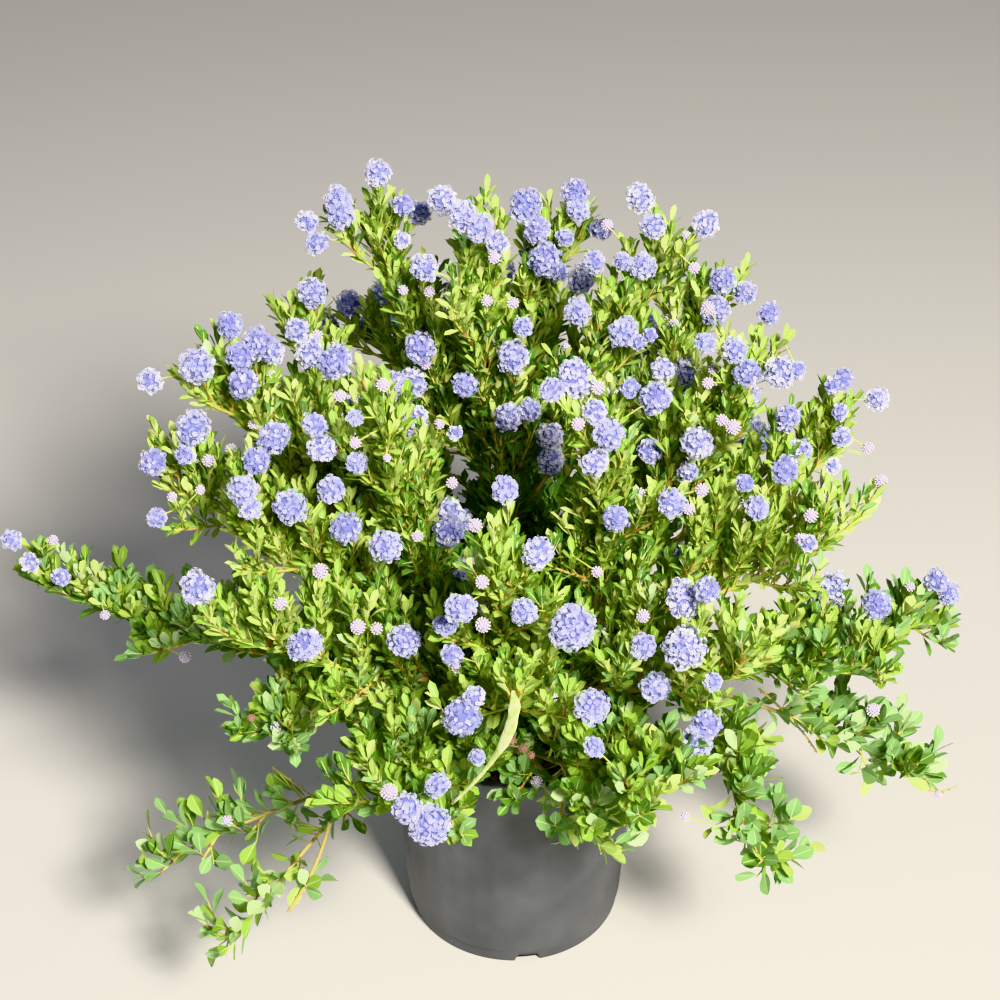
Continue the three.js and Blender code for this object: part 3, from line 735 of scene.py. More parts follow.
def tubes(curves, base, tip, sides, steps, finish, girths=1):
    """Tapering shoots: a ring at every step of each curve, shrinking evenly to its tip, closed by a point.

    Each radius is times the curve's girth. The finish is given for each curve and step.
    """
    curves = np.asarray(curves, float)
    count = len(curves)
    girths = np.broadcast_to(girths, count)[:, None]
    shares = np.linspace(0, 1, steps + 1)
    along, spokes = spokes_on(curves, shares, sides)
    radius = (base + (tip - base) * shares) * girths
    rings = points_on(curves, shares)[:, :, None] + radius[..., None, None] * spokes
    end = curves[:, 2] + along[:, -1] * tip * END_BULGE * girths
    vertices = np.concatenate([rings.reshape(count, -1, 3), end[:, None]], axis=1)
    each = vertices.shape[1]
    finish = np.broadcast_to(finish, (count, steps))
    walls = copies_of(grid_faces(steps + 1, sides), count, each)
    ends = copies_of(fan_faces(np.arange(sides) + steps * sides, each - 1), count, each)
    surfaces = [(walls, np.repeat(finish, sides, axis=1).ravel()), (ends, np.repeat(finish[:, -1], sides))]
    return vertices.reshape(-1, 3), surfaces


def flat_shoot(points, thickness, ends, belly, waves, ridges, sides=28, steps=44):
    """A flattened flowering stem: rings on a curve, each an ellipse that lies across it.

    The half width goes evenly between its ends, is widened past its first third by the cube of a sine wave,
    and swells and shrinks by short waves, each (height, radians along the stem). Lengthways ridges, (height,
    count), are a wave round it that dies away at the two edges.
    """
    curve = np.array(points, float)
    shares = np.linspace(0, 1, steps + 1)
    _, over, across = square_to(curve, shares)
    turn = full_turn(sides)
    width = ends[0] + (ends[1] - ends[0]) * shares + belly * np.sin(math.pi * shares**0.6) ** 3
    width = width * (1 + sum(height * np.sin(run * shares) for height, run in waves))
    wide = (width[:, None] * np.cos(turn))[..., None]
    height, count = ridges
    thick = thickness * np.sin(turn) * (1 + height * np.cos(count * turn) * np.abs(np.sin(turn)))
    rings = points_on(curve, shares)[:, None] + across[:, None] * wide + over[:, None] * thick[:, None]
    vertices = np.concatenate([rings.reshape(-1, 3), [curve[0], curve[2]]])
    return vertices, [(faces, FLAT_TWIG) for faces in body_faces(steps + 1, sides)]


def lumps(points, size, seed):
    """A smooth random height from about -1 to 1 at each point: seven waves, each in a random direction.

    The waves are about as long as the given size.
    """
    rng = draws(seed)
    waves = unit(rng.normal(size=(7, 3))) * math.tau / size * rng.uniform(0.6, 1.7, (7, 1))
    return np.sin(points @ waves.T + rng.uniform(0, math.tau, 7)).sum(-1) / 3.5


# ---- Pot ----

def pot_radius(height):
    """The outside radius of the pot's wall at a height."""
    return POT["foot_radius"] + (POT["wall_radius"] - POT["foot_radius"]) * height / POT["height"]


def rounded(corners, steps=5):
    """A closed outline whose corners, each (radius, height, fillet), are rounded by arcs of a few points.

    An arc is the quadratic curve from one fillet length before the corner to one after it.
    """
    places = np.array([corner[:2] for corner in corners], float)
    fillets = np.array([corner[2] for corner in corners], float)[:, None]
    before = places + unit(np.roll(places, 1, axis=0) - places) * fillets
    after = places + unit(np.roll(places, -1, axis=0) - places) * fillets
    arcs = np.stack([before, places, after], axis=1)
    return points_on(arcs, np.linspace(0, 1, steps)).reshape(-1, 2)


def in_slot(turn):
    """1 where a drain slot cuts the pot's foot at an azimuth and 0 beside it, with soft edges."""
    spacing = math.tau / POT["slots"]
    off = (turn - math.radians(POT["first_slot_azimuth"]) + spacing / 2) % spacing - spacing / 2
    return smooth_step(-0.5, 3, POT["slot_width"] / 2 - np.abs(off) * POT["foot_radius"])


def pot_wall(columns=360):
    """Wall, lip and foot: one closed section carried round the axis, with the drain slots cut into its foot.

    Each corner of the section is its radius, height and fillet. The wall swells and sinks in shallow upright
    flutes, it has an upright seam on two sides, and hardly noticeable rings left by moulding.
    """
    h, inset, wall, band = POT["height"], POT["foot_inset"], POT["wall"], POT["foot_band"]
    lip_foot = h - POT["lip_height"]
    section = rounded([
        (pot_radius(0) - inset, 0, 1.2), (pot_radius(band) - inset, band, 0.8),
        (pot_radius(band), band + 1.2, 0.8), (pot_radius(h / 2), h / 2, 60),
        (pot_radius(lip_foot - 1), lip_foot - 1, 2),
        (pot_radius(lip_foot) + POT["lip_out"] - 0.5, lip_foot + 0.5, 1.6),
        (pot_radius(h) + POT["lip_out"], h, 2.6), (pot_radius(h) - wall, h, 1.2),
        (pot_radius(lip_foot) - wall, lip_foot, 8), (pot_radius(0) - inset - wall, 0, 1.2),
    ])
    turn = full_turn(columns)
    height = np.maximum(section[:, 1:], POT["slot_height"] * in_slot(turn))
    on_wall = smooth_step(band + 4, band + 20, height) * smooth_step(lip_foot - 2, lip_foot - 14, height)
    flutes = FLUTES["depth"] * np.cos(FLUTES["count"] * turn)
    rings = MOULD_RINGS["depth"] * np.sin(height / MOULD_RINGS["run"])
    seam = SEAM["height"] * (np.abs(np.cos(turn - SEAM["turn"])) > math.cos(math.pi / columns))
    vertices = turned(section[:, :1] + on_wall * (flutes + rings + seam), turn, height).reshape(-1, 3)
    faces = grid_faces(len(section) + 1, columns) % len(vertices)
    return vertices, [(faces, 0)]


def pot_floor(columns=360):
    """The pot's floor: a plate that ends short of the wall at each drain slot, closed at its middle."""
    turn = full_turn(columns)
    edge = pot_radius(0) - POT["foot_inset"] - POT["wall"] / 2
    outer = edge - (POT["slot_depth"] - POT["wall"]) * in_slot(turn)
    top, edge_round = POT["floor"], 0.4
    shares = np.array([0.15, 0.5, 0.85, 1, 1, 0.85, 0.5, 0.15])[:, None]
    height = np.array([0, 0, 0, edge_round, top - edge_round, top, top, top])[:, None]
    rings = turned(shares * outer, turn, height).reshape(-1, 3)
    vertices = np.concatenate([rings, [[0, 0, 0], [0, 0, top]]])
    return vertices, [(faces, 0) for faces in body_faces(len(shares), columns)]


# ---- Soil ----

def soil_body(columns=160, rows=64):
    """Potting mix: rings from the middle to the wall, lumpy at three sizes, over a plain underside."""
    base = POT["floor"] + GAP
    rim = pot_radius(SOIL["top"] - SOIL["edge_drop"]) - POT["wall"] - GAP
    turn = full_turn(columns)
    radius = rim * np.linspace(0.02, 1, rows)[:, None]
    height = SOIL["top"] - SOIL["edge_drop"] * smooth_step(SOIL["seat_radius"], rim, radius)
    flat = turned(radius, turn, 0)
    rough = sum(high * lumps(flat, size, seed) for seed, (size, high) in enumerate(SOIL_LUMPS, 1))
    top = turned(radius, turn, height + rough - SOIL_SETTLED)
    low = turned(pot_radius(base) - POT["wall"] - POT["foot_inset"] - GAP, turn, base)
    vertices = np.concatenate([top.reshape(-1, 3), low, [[0, 0, SOIL["top"] - 1], [0, 0, base]]])
    return vertices, [(faces, 0) for faces in hung_faces(rows + 1, columns)]


def soil_chips(count=520):
    """Chips of bark on the mix: six-sided boxes, their corners pushed about, thrown at random turns."""
    rng = draws(4)
    box = np.array([[x, y, z] for z in (-1, 1) for y in (-1, 1) for x in (-1, 1)], float)
    size = rng.uniform(CHIP["least"], CHIP["most"], (count, 3))
    corners = box[None] * size[:, None] * rng.uniform(*CHIP["corner"], (count, 8, 3))
    axes = np.linalg.qr(rng.normal(size=(count, 3, 3)))[0]
    axes[:, 2] = unit(axes[:, 2] + UP * CHIP["flat"])
    axes[:, 0] = unit(np.cross(axes[:, 1], axes[:, 2]))
    axes[:, 1] = np.cross(axes[:, 2], axes[:, 0])
    rim = pot_radius(SOIL["top"]) - POT["wall"] - CHIP["rim_room"]
    reach, turn = rim * np.sqrt(rng.uniform(0.03, 1, count)), rng.uniform(0, math.tau, count)
    height = SOIL["top"] + CHIP["height"] - SOIL["edge_drop"] * smooth_step(SOIL["seat_radius"], rim, reach)
    vertices = turned(reach, turn, height)[:, None] + np.einsum("nij,njk->nik", corners, axes)
    faces = np.array([[0, 2, 3, 1], [4, 5, 7, 6], [0, 1, 5, 4], [1, 3, 7, 5], [3, 2, 6, 7], [2, 0, 4, 6]])
    return vertices.reshape(-1, 3), [(copies_of(faces, count, 8), np.repeat(rng.integers(0, 2, count), 6))]


# ---- Bark ----

def bark_relief(turn, run, radius, seed):
    """How far the bark stands in or out: lengthways plates between cracks that wander as they run.

    A plate's height is the square root of a wave round the limb, so that cracks are narrow and plates broad,
    and the wave is shifted round by a slow wave along the limb. Smooth lumps are added.
    """
    plates = max(5, round(math.tau * radius / BARK["plate"]))
    places = np.stack(np.broadcast_arrays(run, turn * radius, np.float64(seed * 50)), axis=-1)
    wander = turn + 0.5 * lumps(places * [1, 0.2, 1], BARK["wander"], seed) / plates * 3
    plate = np.sqrt(np.abs(np.sin(wander * plates / 2)))
    return plate - 0.6 + 0.35 * lumps(places, BARK["lump"], seed + 1)


def bark_limb(curve, base, tip, relief, seed, sides=28, steps=60):
    """A limb in bark: rings on a curve, shrinking evenly from base to tip, moved in and out by the relief."""
    shares = np.linspace(0, 1, steps + 1)
    along, spokes = spokes_on(curve, shares, sides)
    radius = base + (tip - base) * shares
    run = (shares * length_of(curve))[:, None]
    height = bark_relief(full_turn(sides), run, radius.mean(), seed) * relief
    rings = points_on(curve, shares)[:, None] + spokes * (radius[:, None] + height)[..., None]
    ends = [curve[0] - along[0] * base * 0.3, curve[2] + along[-1] * tip * 0.5]
    vertices = np.concatenate([rings.reshape(-1, 3), ends])
    return vertices, [(faces, 0) for faces in body_faces(steps + 1, sides)]


def trunk_limb(sides=96, steps=70):
    """The trunk: a flat cut at the soil, a flare with root lobes, a waist, and a swollen head under a dome.

    Its radius is the waist's plus a term that dies away up from the foot and one that rises to the head, and
    the lobes are a wave of crests round it that dies away as fast as the flare.
    """
    shape = TRUNK_SHAPE
    tall = TRUNK["head_height"] - TRUNK_FOOT[2]
    dome = TRUNK["head"] * shape["dome"]
    turn = full_turn(sides)
    height = np.linspace(0, 1, steps + 1)[:, None] * (tall + dome)
    flare = np.exp(-height / (tall * shape["flare"]))
    radius = TRUNK["waist"] + (TRUNK["flare"] - TRUNK["waist"]) * flare
    radius = radius + (TRUNK["head"] - TRUNK["waist"]) * smooth_step(shape["swell"] * tall, tall, height)
    lobes = shape["lobe_depth"] * flare * np.cos(shape["lobes"] * turn + shape["lobe_turn"])
    relief = bark_relief(turn, height, TRUNK["waist"], 40) * shape["relief"] * (1 - 0.5 * flare)
    above = np.clip((height - tall) / dome, 0, 0.995)
    radius = (radius * (1 + lobes) + relief) * np.sqrt(1 - above**2)
    axis = TRUNK_FOOT + height[..., None] * (TRUNK_HEAD - TRUNK_FOOT) / tall
    rings = (axis + radius[..., None] * turned(1, turn, 0)).reshape(-1, 3)
    vertices = np.concatenate([rings, [TRUNK_FOOT, axis[-1, 0] + UP * 0.4]])
    return vertices, [(faces, 0) for faces in body_faces(steps + 1, sides)]


# ---- Leaves ----

INNER_STATIONS = np.array([0.34, 0.72])  # for leaves deep in the shrub
PLAIN_STATIONS = np.array([0.15, 0.5, 0.82])
ROUND_STATIONS = np.array([0.1, 0.3, 0.52, 0.74, 0.91])  # for the broad leaves low on the shrub
RIB, PETIOLE = 0.5, 0.45  # half the width of the midrib and of the leaf's stalk, in mm


def blade_width(share):
    """Half the blade's width over its greatest: a wave along its length whose crest lies past the middle."""
    return np.sin(math.pi * share**1.55) ** 0.72


def leaf_template(stations):
    """A leaf's vertices, as columns along it, across it and on the rib or edge, and its faces."""
    foot = 0.02  # so that the blade has some width at its first station
    width = blade_width((stations - stations[0] + foot) / (1 - stations[0] + foot))[:, None]
    count = len(stations)
    along = np.concatenate([[0, 0], np.repeat(stations, 4), [1]])
    across = np.concatenate([[0, 0], (width * [-1, 0, 0, 1]).ravel(), [0]])
    narrowing = np.linspace(RIB, RIB / 2, count)[:, None]
    rib = np.concatenate([[-PETIOLE, PETIOLE], (narrowing * [0, -1, 1, 0]).ravel(), [0]])
    rows = 2 + np.arange(count - 1)[:, None] * 4
    left, middle, right = (rows + np.array([k, k + 1, k + 5, k + 4]) for k in range(3))
    blade = np.concatenate([left, right])
    ribs = np.concatenate([middle, [[0, 1, 4, 3]]])
    last = len(along) - 1
    tip = np.array([[last - 4, last - 3, last], [last - 2, last - 1, last], [last - 3, last - 2, last]])
    return along, across, rib, blade, ribs, tip


def leaf_blades(roots, directions, uppers, lengths, slender, tints, stations, rng):
    """Leaves: a stalk, then a blade folded along its midrib and bent along its length.

    A vertex lies along the leaf by its share of the length, across by the blade's width there, and stands off
    the leaf's plane by a fold that grows with the distance from the rib and a bend that grows with the square
    of the share along.
    """
    along, across, rib, blade, ribs, tip = leaf_template(stations)
    count = len(roots)
    side = unit(np.cross(directions, uppers))
    face = np.cross(side, directions)
    half = (lengths * slender / 2)[:, None] * across
    fold = rng.uniform(*LEAF["fold"], (count, 1))
    bend = rng.normal(*LEAF["bend"], (count, 1))
    off = fold * np.abs(half) + bend * lengths[:, None] * along**2
    vertices = (roots[:, None] + directions[:, None] * (lengths[:, None] * along)[..., None]
                + side[:, None] * (half + rib)[..., None] + face[:, None] * off[..., None])
    each = len(along)
    surfaces = [(copies_of(blade, count, each), np.repeat(tints, len(blade))),
                (copies_of(ribs, count, each), RIB_FINISH),
                (copies_of(tip, count, each), np.repeat(tints, len(tip)))]
    return vertices.reshape(-1, 3), surfaces


# ---- Blossom ----

def floret_template(petals=5):
    """A floret on its own axes: petals as wedges, cupped up at their broad ends."""
    corners = np.array([0, -PETAL["half_turn"], PETAL["half_turn"]])
    turn = full_turn(petals)[:, None] + corners
    reach = np.array([PETAL["inner"], 1, 1])
    rise = np.array([PETAL["dip"], PETAL["cup"], PETAL["cup"]])
    return turned(reach, turn, rise).reshape(-1, 3), np.arange(petals * 3).reshape(-1, 3)


def even_directions(count):
    """Directions spread evenly over a ball: level steps down its axis, a golden angle apart."""
    level = 1 - 2 * (np.arange(count) + 0.5) / count
    return turned(np.sqrt(1 - level**2), np.arange(count) * GOLDEN_ANGLE, level)


def axes_about(normals, spin):
    """For each normal, two directions square to it and to each other, turned about it by a spin."""
    level = np.where(np.abs(normals[:, 2:]) > 0.9, [1.0, 0, 0], UP)
    first = unit(np.cross(level, normals))
    second = np.cross(normals, first)
    cos, sin = np.cos(spin)[:, None], np.sin(spin)[:, None]
    return first * cos + second * sin, second * cos - first * sin


def stretched_ball(head, directions):
    """Points of a head's surface: a ball drawn out along the head's own direction."""
    centre, axis, radius, _, stretch = head
    lengthways = directions @ axis
    return centre + radius * (directions + (stretch - 1) * lengthways[:, None] * axis)


def cluster_surface(ways, umbels):
    """How far out a cluster of balls reaches in each direction, and which way its surface faces there.

    The balls have their middles on the umbels' directions. Off a ball's direction by an angle a, its surface
    is at c cos a + sqrt(r^2 - (c sin a)^2), where c is its middle's distance and r its radius.
    """
    c, r = UMBEL["reach"], UMBEL["radius"]
    cosines = ways @ umbels.T
    nearest = umbels[cosines.argmax(axis=1)]
    cosine = cosines.max(axis=1)
    distance = c * cosine + np.sqrt(np.maximum(r**2 - c**2 * (1 - cosine**2), 0))
    distance = np.maximum(distance, UMBEL["core"])
    return distance, unit(ways * distance[:, None] - nearest * c)


def florets(heads, tints, rng):
    """Florets spread evenly over each flower head, which is a cluster of small round umbels about a core.

    A floret faces out from its umbel. Some are of the head's own tint, and the others of any.
    """
    placed = []
    for head in heads:
        count = round(FLORET["per_area"] * head[2] ** 2 * head[4])
        ways = unit(even_directions(count) + rng.normal(0, FLORET["spread"], (count, 3)))
        umbel_count = max(UMBEL["fewest"], round(UMBEL["count"] * head[2] / HEAD["radius"]))
        umbels = even_directions(umbel_count)
        umbels = unit(umbels + rng.normal(0, UMBEL["spread"], (umbel_count, 3)))
        distance, facing = cluster_surface(ways, umbels)
        distance = (distance * rng.uniform(*FLORET["depth"], count))[:, None]
        normals = unit(facing + rng.normal(0, FLORET["tilt"], (count, 3)))
        own = rng.choice(len(tints), p=FLORET["tints"])
        colours = np.where(rng.random(count) < FLORET["own_tint"], own, rng.integers(0, len(tints), count))
        placed.append((head[0] + (stretched_ball(head, ways) - head[0]) * distance, normals, colours))
    centres, normals, colours = (np.concatenate(values) for values in zip(*placed))
    count = len(centres)
    shape, petals = floret_template()
    first, second = axes_about(normals, rng.uniform(0, math.tau, count))
    size = FLORET["radius"] * rng.uniform(*FLORET["size"], (count, 1, 1))
    vertices = centres[:, None] + size * (shape[:, :1] * first[:, None] + shape[:, 1:2] * second[:, None]
                                          + shape[:, 2:] * normals[:, None])
    tint = np.array(tints)[colours]
    return vertices.reshape(-1, 3), [(copies_of(petals, count, len(shape)), np.repeat(tint, len(petals)))]


def balls(heads, size, finish, rows, columns, rough):
    """Lumpy balls: rings from pole to pole of each head's stretched ball at a share of its size."""
    polar = np.linspace(0, math.pi, rows + 2)[1:-1, None]
    rings = turned(np.sin(polar), full_turn(columns), np.cos(polar)).reshape(-1, 3)
    ways = np.concatenate([rings, [[0, 0, 1], [0, 0, -1]]])
    vertices = []
    for number, head in enumerate(heads):
        lumpy = size * (1 + rough * lumps(ways * 20, 16, number))
        vertices.append(head[0] + (stretched_ball(head, ways) - head[0]) * lumpy[:, None])
    return np.concatenate(vertices), [
        (copies_of(faces, len(heads), len(ways)), finish) for faces in hung_faces(rows, columns)]


def bud_beads(buds, tints, rng):
    """Unopened heads: beads of eight faces spread evenly over a small ball."""
    placed = []
    for centre, _, radius, *_ in buds:
        count = round(BEAD["per_area"] * radius**2) + BEAD["fewest"]
        depth = rng.uniform(*BEAD["depth"], (count, 1))
        size = BEAD["radius"] * rng.uniform(*BEAD["size"], (count, 1, 1))
        placed.append((centre + even_directions(count) * radius * depth, size))
    centres, sizes = (np.concatenate(values) for values in zip(*placed))
    corners = np.array([[1, 0, 0], [0, 1, 0], [-1, 0, 0], [0, -1, 0], [0, 0, 1], [0, 0, -1]], float)
    faces = np.concatenate([fan_faces(np.arange(4), 4), fan_faces(np.arange(4)[::-1], 5)])
    vertices = centres[:, None] + corners * sizes
    tint = rng.choice(tints, len(centres))
    return vertices.reshape(-1, 3), [(copies_of(faces, len(centres), 6), np.repeat(tint, 8))]


# ---- Materials ----

def linear(colour):
    """An sRGB hex colour as linear red, green, blue and alpha."""
    shares = [int(colour[i:i + 2], 16) / 255 for i in (1, 3, 5)]
    return [s / 12.92 if s <= 0.04045 else ((s + 0.055) / 1.055) ** 2.4 for s in shares] + [1]


def per_metre(millimetres):
    """The scale of a pattern whose features are so many millimetres apart."""
    return 1000 / millimetres


def add_node(tree, kind, settings=(), links=()):
    """Adds a node, sets its inputs or its own properties by name, and links outputs to its inputs by name."""
    node = tree.nodes.new(kind)
    for name, value in dict(settings).items():
        if name in node.inputs:
            node.inputs[name].default_value = value
        else:
            setattr(node, name, value)
    for name, output in dict(links).items():
        tree.links.new(output, node.inputs[name])
    return node


def new_material(name, settings):
    """A material with a principled surface whose constants are set on its own sockets."""
    material = bpy.data.materials.new(name)
    material.use_nodes = True
    tree = material.node_tree
    tree.nodes.clear()
    surface = add_node(tree, "ShaderNodeBsdfPrincipled", settings)
    add_node(tree, "ShaderNodeOutputMaterial", links={"Surface": surface.outputs[0]})
    place = add_node(tree, "ShaderNodeTexCoord").outputs["Object"]
    return material, tree, surface, place


def roughen(tree, surface, place, grain, low, high, height, strength=0.5):
    """Gives a surface a noise of a real grain in mm, in its roughness and, so many mm high, in its bump."""
    noise = add_node(tree, "ShaderNodeTexNoise", {"Scale": per_metre(grain), "Detail": 3}, {"Vector": place})
    rough = add_node(tree, "ShaderNodeMapRange", {"To Min": low, "To Max": high}, {"Value": noise.outputs[0]})
    bump = add_node(tree, "ShaderNodeBump", {"Strength": strength, "Distance": height * MM},
                    {"Height": noise.outputs[0]})
    tree.links.new(rough.outputs[0], surface.inputs["Roughness"])
    tree.links.new(bump.outputs[0], surface.inputs["Normal"])


def mottle(tree, surface, place, grain, detail, fine, dark, pale):
    """Colours a surface by a noise of a real grain in mm, between two tones, each (share, colour)."""
    noise = add_node(tree, "ShaderNodeTexNoise", {
        "Scale": per_metre(grain), "Detail": detail, "Roughness": fine}, {"Vector": place})
    tones = add_node(tree, "ShaderNodeValToRGB", links={"Fac": noise.outputs[0]})
    for element, (share, colour) in zip(tones.color_ramp.elements, (dark, pale)):
        element.position, element.color = share, linear(colour)
    tree.links.new(tones.outputs[0], surface.inputs["Base Color"])


def leaf_skin(name, colour, gloss):
    """Evergreen leaf: green tissue under a waxy cuticle, which gives it a clear soft shine.

    The net of veins lies about 1.4 mm apart and quilts the blade a little. It is plain in colour.
    """
    material, tree, surface, place = new_material(name, {
        "Base Color": linear(colour), "Roughness": 0.45, "IOR": 1.42, "Specular IOR Level": gloss})
    roughen(tree, surface, place, grain=1.4, low=0.38, high=0.56, height=0.25)
    return material


def twig_skin(name, colour, grain):
    """Twig: a thin matt skin with fine wrinkles."""
    material, tree, surface, place = new_material(name, {"Base Color": linear(colour), "IOR": 1.45})
    roughen(tree, surface, place, grain, low=0.5, high=0.75, height=0.2)
    return material


def petal_tissue(name, colour):
    """Petal: thin soft tissue that scatters light, with a velvet bloom from its fine cells."""
    material, tree, surface, place = new_material(name, {
        "Base Color": linear(colour), "IOR": 1.38, "Specular IOR Level": 0.3, "Sheen Weight": 0.25,
        "Sheen Roughness": 0.5})
    roughen(tree, surface, place, grain=0.8, low=0.55, high=0.8, height=0.15)
    return material


def moulded_polypropylene():
    """Black recycled polypropylene, injection moulded: a fine satin grain under a patchy film of dust."""
    material, tree, surface, place = new_material("moulded_polypropylene", {"IOR": 1.49})
    mottle(tree, surface, place, grain=60, detail=5, fine=0.5, dark=(0.35, "#474A4E"), pale=(0.72, "#595C60"))
    roughen(tree, surface, place, grain=1.2, low=0.42, high=0.62, height=0.12, strength=0.6)
    return material


def potting_mix(name, dark, pale):
    """Damp potting mix of composted bark and peat: crumbs of about 3 mm from near black to brown."""
    material, tree, surface, place = new_material(name, {"IOR": 1.4, "Specular IOR Level": 0.25})
    mottle(tree, surface, place, grain=6, detail=8, fine=0.7, dark=(0.38, dark), pale=(0.66, pale))
    roughen(tree, surface, place, grain=3, low=0.8, high=0.98, height=1.2, strength=0.9)
    return material


def grey_brown_bark():
    """Young bark of the shrub's wood: matt and grey-brown, in patches, with a fine rough grain."""
    material, tree, surface, place = new_material("grey_brown_bark", {"IOR": 1.45, "Specular IOR Level": 0.3})
    mottle(tree, surface, place, grain=7, detail=6, fine=0.65, dark=(0.3, "#4C4733"), pale=(0.7, "#8C8868"))
    roughen(tree, surface, place, grain=1.5, low=0.7, high=0.95, height=0.4, strength=0.7)
    return material


def flattened_stem():
    """A stem that has grown flat: matt and fibrous, yellow-green to nearly white in small patches."""
    material, tree, surface, place = new_material("flattened_stem", {"IOR": 1.45})
    mottle(tree, surface, place, grain=9, detail=6, fine=0.7, dark=(0.36, "#A9BC5C"), pale=(0.6, "#DDE3AE"))
    roughen(tree, surface, place, grain=2.2, low=0.5, high=0.75, height=0.8, strength=0.9)
    return material


# The inner leaf's dark green is painted shade for the depth of the crown, not a colour of the leaf.
LEAF_FINISHES = [
    leaf_skin("young_leaf", "#C4D47F", 0.5), leaf_skin("bright_leaf", "#A7C160", 0.5),
    leaf_skin("mid_leaf", "#8AAE48", 0.55), leaf_skin("deep_leaf", "#608A38", 0.6),
    leaf_skin("sea_green_leaf", "#84AC6C", 0.4), leaf_skin("pale_leaf_back", "#BBD29C", 0.3),
    leaf_skin("inner_leaf_painted_shade", "#4C7632", 0.5), leaf_skin("leaf_rib", "#C6D698", 0.3),
]
SHADED_INNER_LEAF, RIB_FINISH = 6, 7
GREEN_TWIG, TAN_TWIG, JOINT, OLD_TWIG, FLAT_TWIG = range(5)
TWIG_FINISHES = [
    twig_skin("green_shoot", "#B7C35C", 2), twig_skin("tan_shoot", "#C6B56C", 2),
    twig_skin("orange_brown_joint", "#B07E42", 1.5), twig_skin("brown_twig", "#858253", 2),
    flattened_stem(),
]
LIGHT_PETAL, MID_PETAL, DEEP_PETAL, STALKS_AND_SHADE, BUD_PINK, BUD_WHITE, BUD_HEART, SPENT = range(8)
# The flower stalks' blue is darkened to paint the shade between the florets.
BLOSSOM_FINISHES = [
    petal_tissue("light_petal", "#E6E6F7"), petal_tissue("periwinkle_petal", "#CFD1F3"),
    petal_tissue("deep_petal", "#A3A6DC"), petal_tissue("flower_stalks_and_shade", "#6F74B4"),
    petal_tissue("pink_bud", "#D6CBE0"), petal_tissue("white_bud", "#E6E0EA"),
    petal_tissue("bud_stalks", "#B4A9C6"), petal_tissue("spent_flowers", "#8C6E5C"),
]


# ---- Foliage ----

# How often a spray has each of the first six leaf finishes: anywhere, and what young and low growth add.
# Growth gets younger between the two heights of YOUNG, and counts as low below the second height of LOWER.
PLAIN_TINTS = np.array([0.1, 0.2, 0.3, 0.14, 0.04, 0.02])
YOUNG_TINTS = np.array([0.22, 0.25, 0, 0, 0, 0])
LOW_TINTS = np.array([0, 0, 0, 0.12, 0.6, 0.12])
YOUNG, LOWER = (430, 700), (330, 520)
FADING = 0.6  # how much of the plain tints goes low down


def tint_of(point, rng):
    """The tint of a spray: yellow-green high on the shrub, darker in the middle, bluish and pale low down."""
    young, low = smooth_step(*YOUNG, point[2]), 1 - smooth_step(*LOWER, point[2])
    weights = (PLAIN_TINTS + YOUNG_TINTS * young) * (1 - FADING * low) + LOW_TINTS * low
    return rng.choice(len(weights), p=weights / weights.sum())


def grow(stem):
    """The fine growth of one mass: its branchlets, its shoots, and its leaves with their tints.

    A leaf is left out whose tip is far out of the mass's space, in the pot, on the ground or before the flat
    shoot.
    """
    rng = draws(stem["index"], 1)
    branchlets, shoots = growth_of(stem, rng)
    on_stem, on_twigs, on_shoots = LEAF["bare"]
    axes = [(stem["curve"], on_stem)] + [(curve, on_twigs) for curve in stem["twigs"] + branchlets]
    axes += [(curve, on_shoots) for curve, _ in shoots]
    edge = min(np.linalg.norm(stem["curve"][2] - CROWN_HEART), CROWN_RADIUS)
    grown = []
    for curve, bare in axes:
        root, direction, upper, length = leaves_on(curve, bare, rng)
        tint = np.full(len(root), tint_of(curve[2], rng))
        odd = rng.random(len(root)) < LEAF["odd_tint"]
        tint[odd] = tint_of(curve[2], rng)
        # Leaves near the crown's heart take the inner tint: painted shade of the crown's depth.
        depth = np.linalg.norm(root - CROWN_HEART, axis=1) / edge
        depth = depth - INNER["least"] - INNER["raise"] * smooth_step(INNER["from"], INNER["to"], root[:, 2])
        dark = INNER["most"] * (1 - smooth_step(INNER["all"], INNER["none"], depth))
        tint[rng.random(len(root)) < dark] = SHADED_INNER_LEAF
        length = length * np.where(depth < INNER["large"], LEAF["inner_size"], 1)
        grown.append((root, direction, upper, length, tint))
    leaves = [np.concatenate(values) for values in zip(*grown)]
    tips = leaf_tips(leaves)
    kept = in_space(tips, stem, stem["others"], -LEAF["overlap"]) | deep_inside(tips)
    kept &= clear_of_pot(tips, -LEAF["over_pot"]) & (tips[:, 2] > LEAF["off_ground"])
    flat = points_on(np.array(FLAT_SHOOT["points"], float), np.linspace(0, 1, 25))
    kept &= np.linalg.norm(tips[:, None] - flat, axis=-1).min(axis=1) > FLAT_SHOOT_ROOM
    return {"stem": stem, "branchlets": branchlets, "shoots": shoots,
            "leaves": [values[kept] for values in leaves], "heads": [], "buds": [], "spent": []}


def full_growth(stems):
    """The fine growth of every mass with its flowers: first those given by place, then the others."""
    masses = [grow(stem) for stem in stems]
    nearest = nearest_growth(masses)
    rng = draws(6)
    for flowers, kind in ((SEEN_HEADS, "heads"), (SEEN_BUDS, "buds"), (SEEN_SPENT, "spent")):
        give_seen(masses, flowers, kind, nearest, rng)
    for mass in masses:
        own = draws(mass["stem"]["index"], 7)
        heads_of(mass["stem"], mass["shoots"], mass["heads"], nearest, own)
        buds_of(mass["stem"], mass["shoots"], mass["heads"], mass["buds"], own)
    return masses


def foliage_object(kind, section, masses, parts, finishes):
    """One piece of a section's foliage, which stands for the solids of the section's masses."""
    nodes = [f"foliage_{mass['stem']['name']}" for mass in masses]
    mesh_object(f"{kind}_{section}", nodes, parts, finishes)


